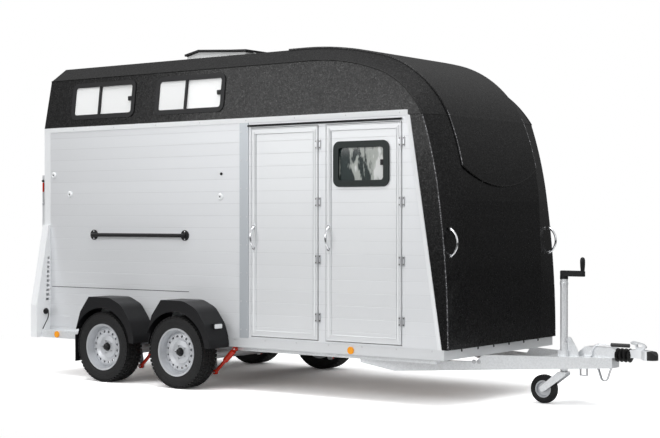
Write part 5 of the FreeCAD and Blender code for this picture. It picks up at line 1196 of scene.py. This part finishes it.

# %% [markdown]
# The rear lamps are fed by a plug on the front face of each light panel, and its lead drops
# to the step. The lead is a cord: it has a real length and hangs from the plug in a soft
# bow. We make it from one curve.

# %% Lamp plugs and leads
LEAD_DIAMETER = 0.009
PLUG_Y = 0.937
PLUG_Z = 0.589
panel_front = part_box("light_panels")[1].x
step_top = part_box("rear_steps")[1].z
for hand, side in (("right", -1), ("left", 1)):
    seat = (panel_front - 0.001, side * PLUG_Y, PLUG_Z)
    work = lathe(bmesh.new(), [(0.0, 0.0), (0.0, 0.027), (0.010, 0.0275), (0.012, 0.0225),
                               (0.024, 0.0215), (0.028, 0.017), (0.029, 0.0)], seat, "x", 28)
    block(work, (seat[0] + 0.006, seat[0] + 0.026), (seat[1] - 0.005, seat[1] + 0.005),
          (seat[2] + 0.018, seat[2] + 0.028), 0.002)
    keep(f"lamp_plug_{hand}", work, "black_plastic", "trailer")
    start = Vector((seat[0] + 0.026, seat[1], seat[2] - 0.004))
    spots = [start, start + Vector((0.026, side * 0.004, -0.004)),
             start + Vector((0.030, side * 0.020, -0.060)),
             start + Vector((0.014, side * 0.040, -0.110)),
             Vector((seat[0] + 0.010, side * 0.978, step_top + 0.0015))]
    curve, line = path(f"lamp_lead_{hand}", spots, LEAD_DIAMETER / 2, fineness=12)
    curve.materials.append(finishes["bellows_rubber"])
    lead = bpy.data.objects.new(f"lamp_lead_{hand}", curve)
    scene.collection.objects.link(lead)
    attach(lead, "trailer")

# %% [markdown]
# The opening over the ramp is closed by a fabric blind. Cloth that hangs from a rail is never
# flat: it falls in shallow folds that grow towards its lower edge. The folds are small, so the
# hung cloth keeps the size it was cut to. A hem with a sewn-in bar weighs it down.

# %% Rear blind
COLUMNS, ROWS_DOWN = 120, 18
FOLD_PHASE = 50.0
HEM_STEPS = 100
blind_low, blind_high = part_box("rear_blind")
blind_width = blind_high.y - blind_low.y
blind_drop = blind_high.z - blind_low.z


def fold_depth(along):
    return 0.0032 * (math.sin(along) + 0.5 * math.sin(along * 0.46 + 1.3))


spots = [(blind_high.x - 0.002 + row / ROWS_DOWN * fold_depth(column / COLUMNS * FOLD_PHASE),
          blind_low.y + blind_width * (column / COLUMNS),
          blind_high.z - blind_drop * (row / ROWS_DOWN))
         for row in range(ROWS_DOWN + 1) for column in range(COLUMNS + 1)]
cloth = bpy.data.meshes.new("blind_cloth")
cloth.from_pydata(spots, [], [
    (first, first + 1, first + COLUMNS + 2, first + COLUMNS + 1)
    for first in (row * (COLUMNS + 1) + column
                  for row in range(ROWS_DOWN) for column in range(COLUMNS))])
blind = keep("blind_cloth", cloth, "blind_fabric", "trailer")
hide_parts("rear_blind")
hem = tube([(blind_high.x - 0.002 + fold_depth(FOLD_PHASE * step / HEM_STEPS),
             blind_low.y + blind_width * step / HEM_STEPS, blind_low.z + 0.006)
            for step in range(HEM_STEPS + 1)], 0.005, round_path=False)
hem_piece = keep("blind_hem", hem, "blind_fabric", "trailer")
work = bmesh.new()
for strap_number in range(5):
    y = blind_low.y + blind_width * (strap_number + 0.5) / 5
    block(work, (blind_low.x - 0.0035, blind_low.x + 0.001), (y - 0.015, y + 0.015),
          (blind_low.z + 0.004, blind_high.z - 0.02), 0.001)
straps_piece = keep("blind_straps", work, "black_plastic", "trailer")
print("blind cut", round(blind_width, 3), "by", round(blind_drop, 3))

# %% [markdown]
# Two over-centre locks hold the ramp shut, one at each side near its top. Each has a zinc
# plate on the ramp's edge, a red lever and a black knob, and all of it folds down with the
# ramp.

# %% Ramp locks
LOCK_AT = at(-0.031)
ramp_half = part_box("ramp")[1].y
plates, levers, knobs = bmesh.new(), bmesh.new(), bmesh.new()
for side in (-1, 1):
    edge = side * ramp_half
    block(plates, (at(-0.046), at(-0.016)), sorted((edge - side * 0.001, edge + side * 0.004)),
          (1.585, 1.840), 0.0015)
    block(levers, (at(-0.042), at(-0.022)), sorted((edge + side * 0.004, edge + side * 0.012)),
          (1.712, 1.800), 0.003)
    lathe(knobs, [(0.0, 0.0), (0.0, 0.0095), (0.016, 0.0095), (0.020, 0.0070), (0.020, 0.0)],
          (LOCK_AT, edge + side * 0.003, 1.815), (0, side, 0), 24)
    lathe(plates, [(0.0, 0.0), (0.0, 0.0080), (0.012, 0.0075), (0.014, 0.0055), (0.014, 0.0)],
          (LOCK_AT, edge + side * 0.003, 1.600), (0, side, 0), 20)
keep("ramp_lock_plates", plates, "door_fittings", "ramp")
keep("ramp_lock_levers", levers, "damper_red", "ramp")
keep("ramp_lock_knobs", knobs, "black_plastic", "ramp")
print("locks on the ramp's edges at", round(ramp_half, 3))

# %% [markdown]
# A trailer carries a red triangle at each rear corner. Each is a softened three-cornered plate
# in a black tray, on the panel above the lamps, and stands out less than the ramp does.

# %% Triangle reflectors
TRIANGLE_Y = 0.944
panel_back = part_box("light_panels")[0].x


def triangles(low_z, size, rear, front, soft):
    """Two upright triangles, point up, one at each corner."""
    work = bmesh.new()
    for side in (-1, 1):
        y = side * TRIANGLE_Y
        plate(work, [(y - size / 2, low_z), (y + size / 2, low_z), (y, low_z + size * 0.866)],
              "x", panel_back - rear, panel_back + front, soft)
    return work


keep("triangle_trays", triangles(0.742, 0.100, 0.004, 0.001, 0.0015), "black_plastic", "trailer")
keep("triangle_lenses", triangles(0.7495, 0.082, 0.010, -0.003, 0.0025), "lamp_red", "trailer")
print("triangles behind", round(panel_back, 3))
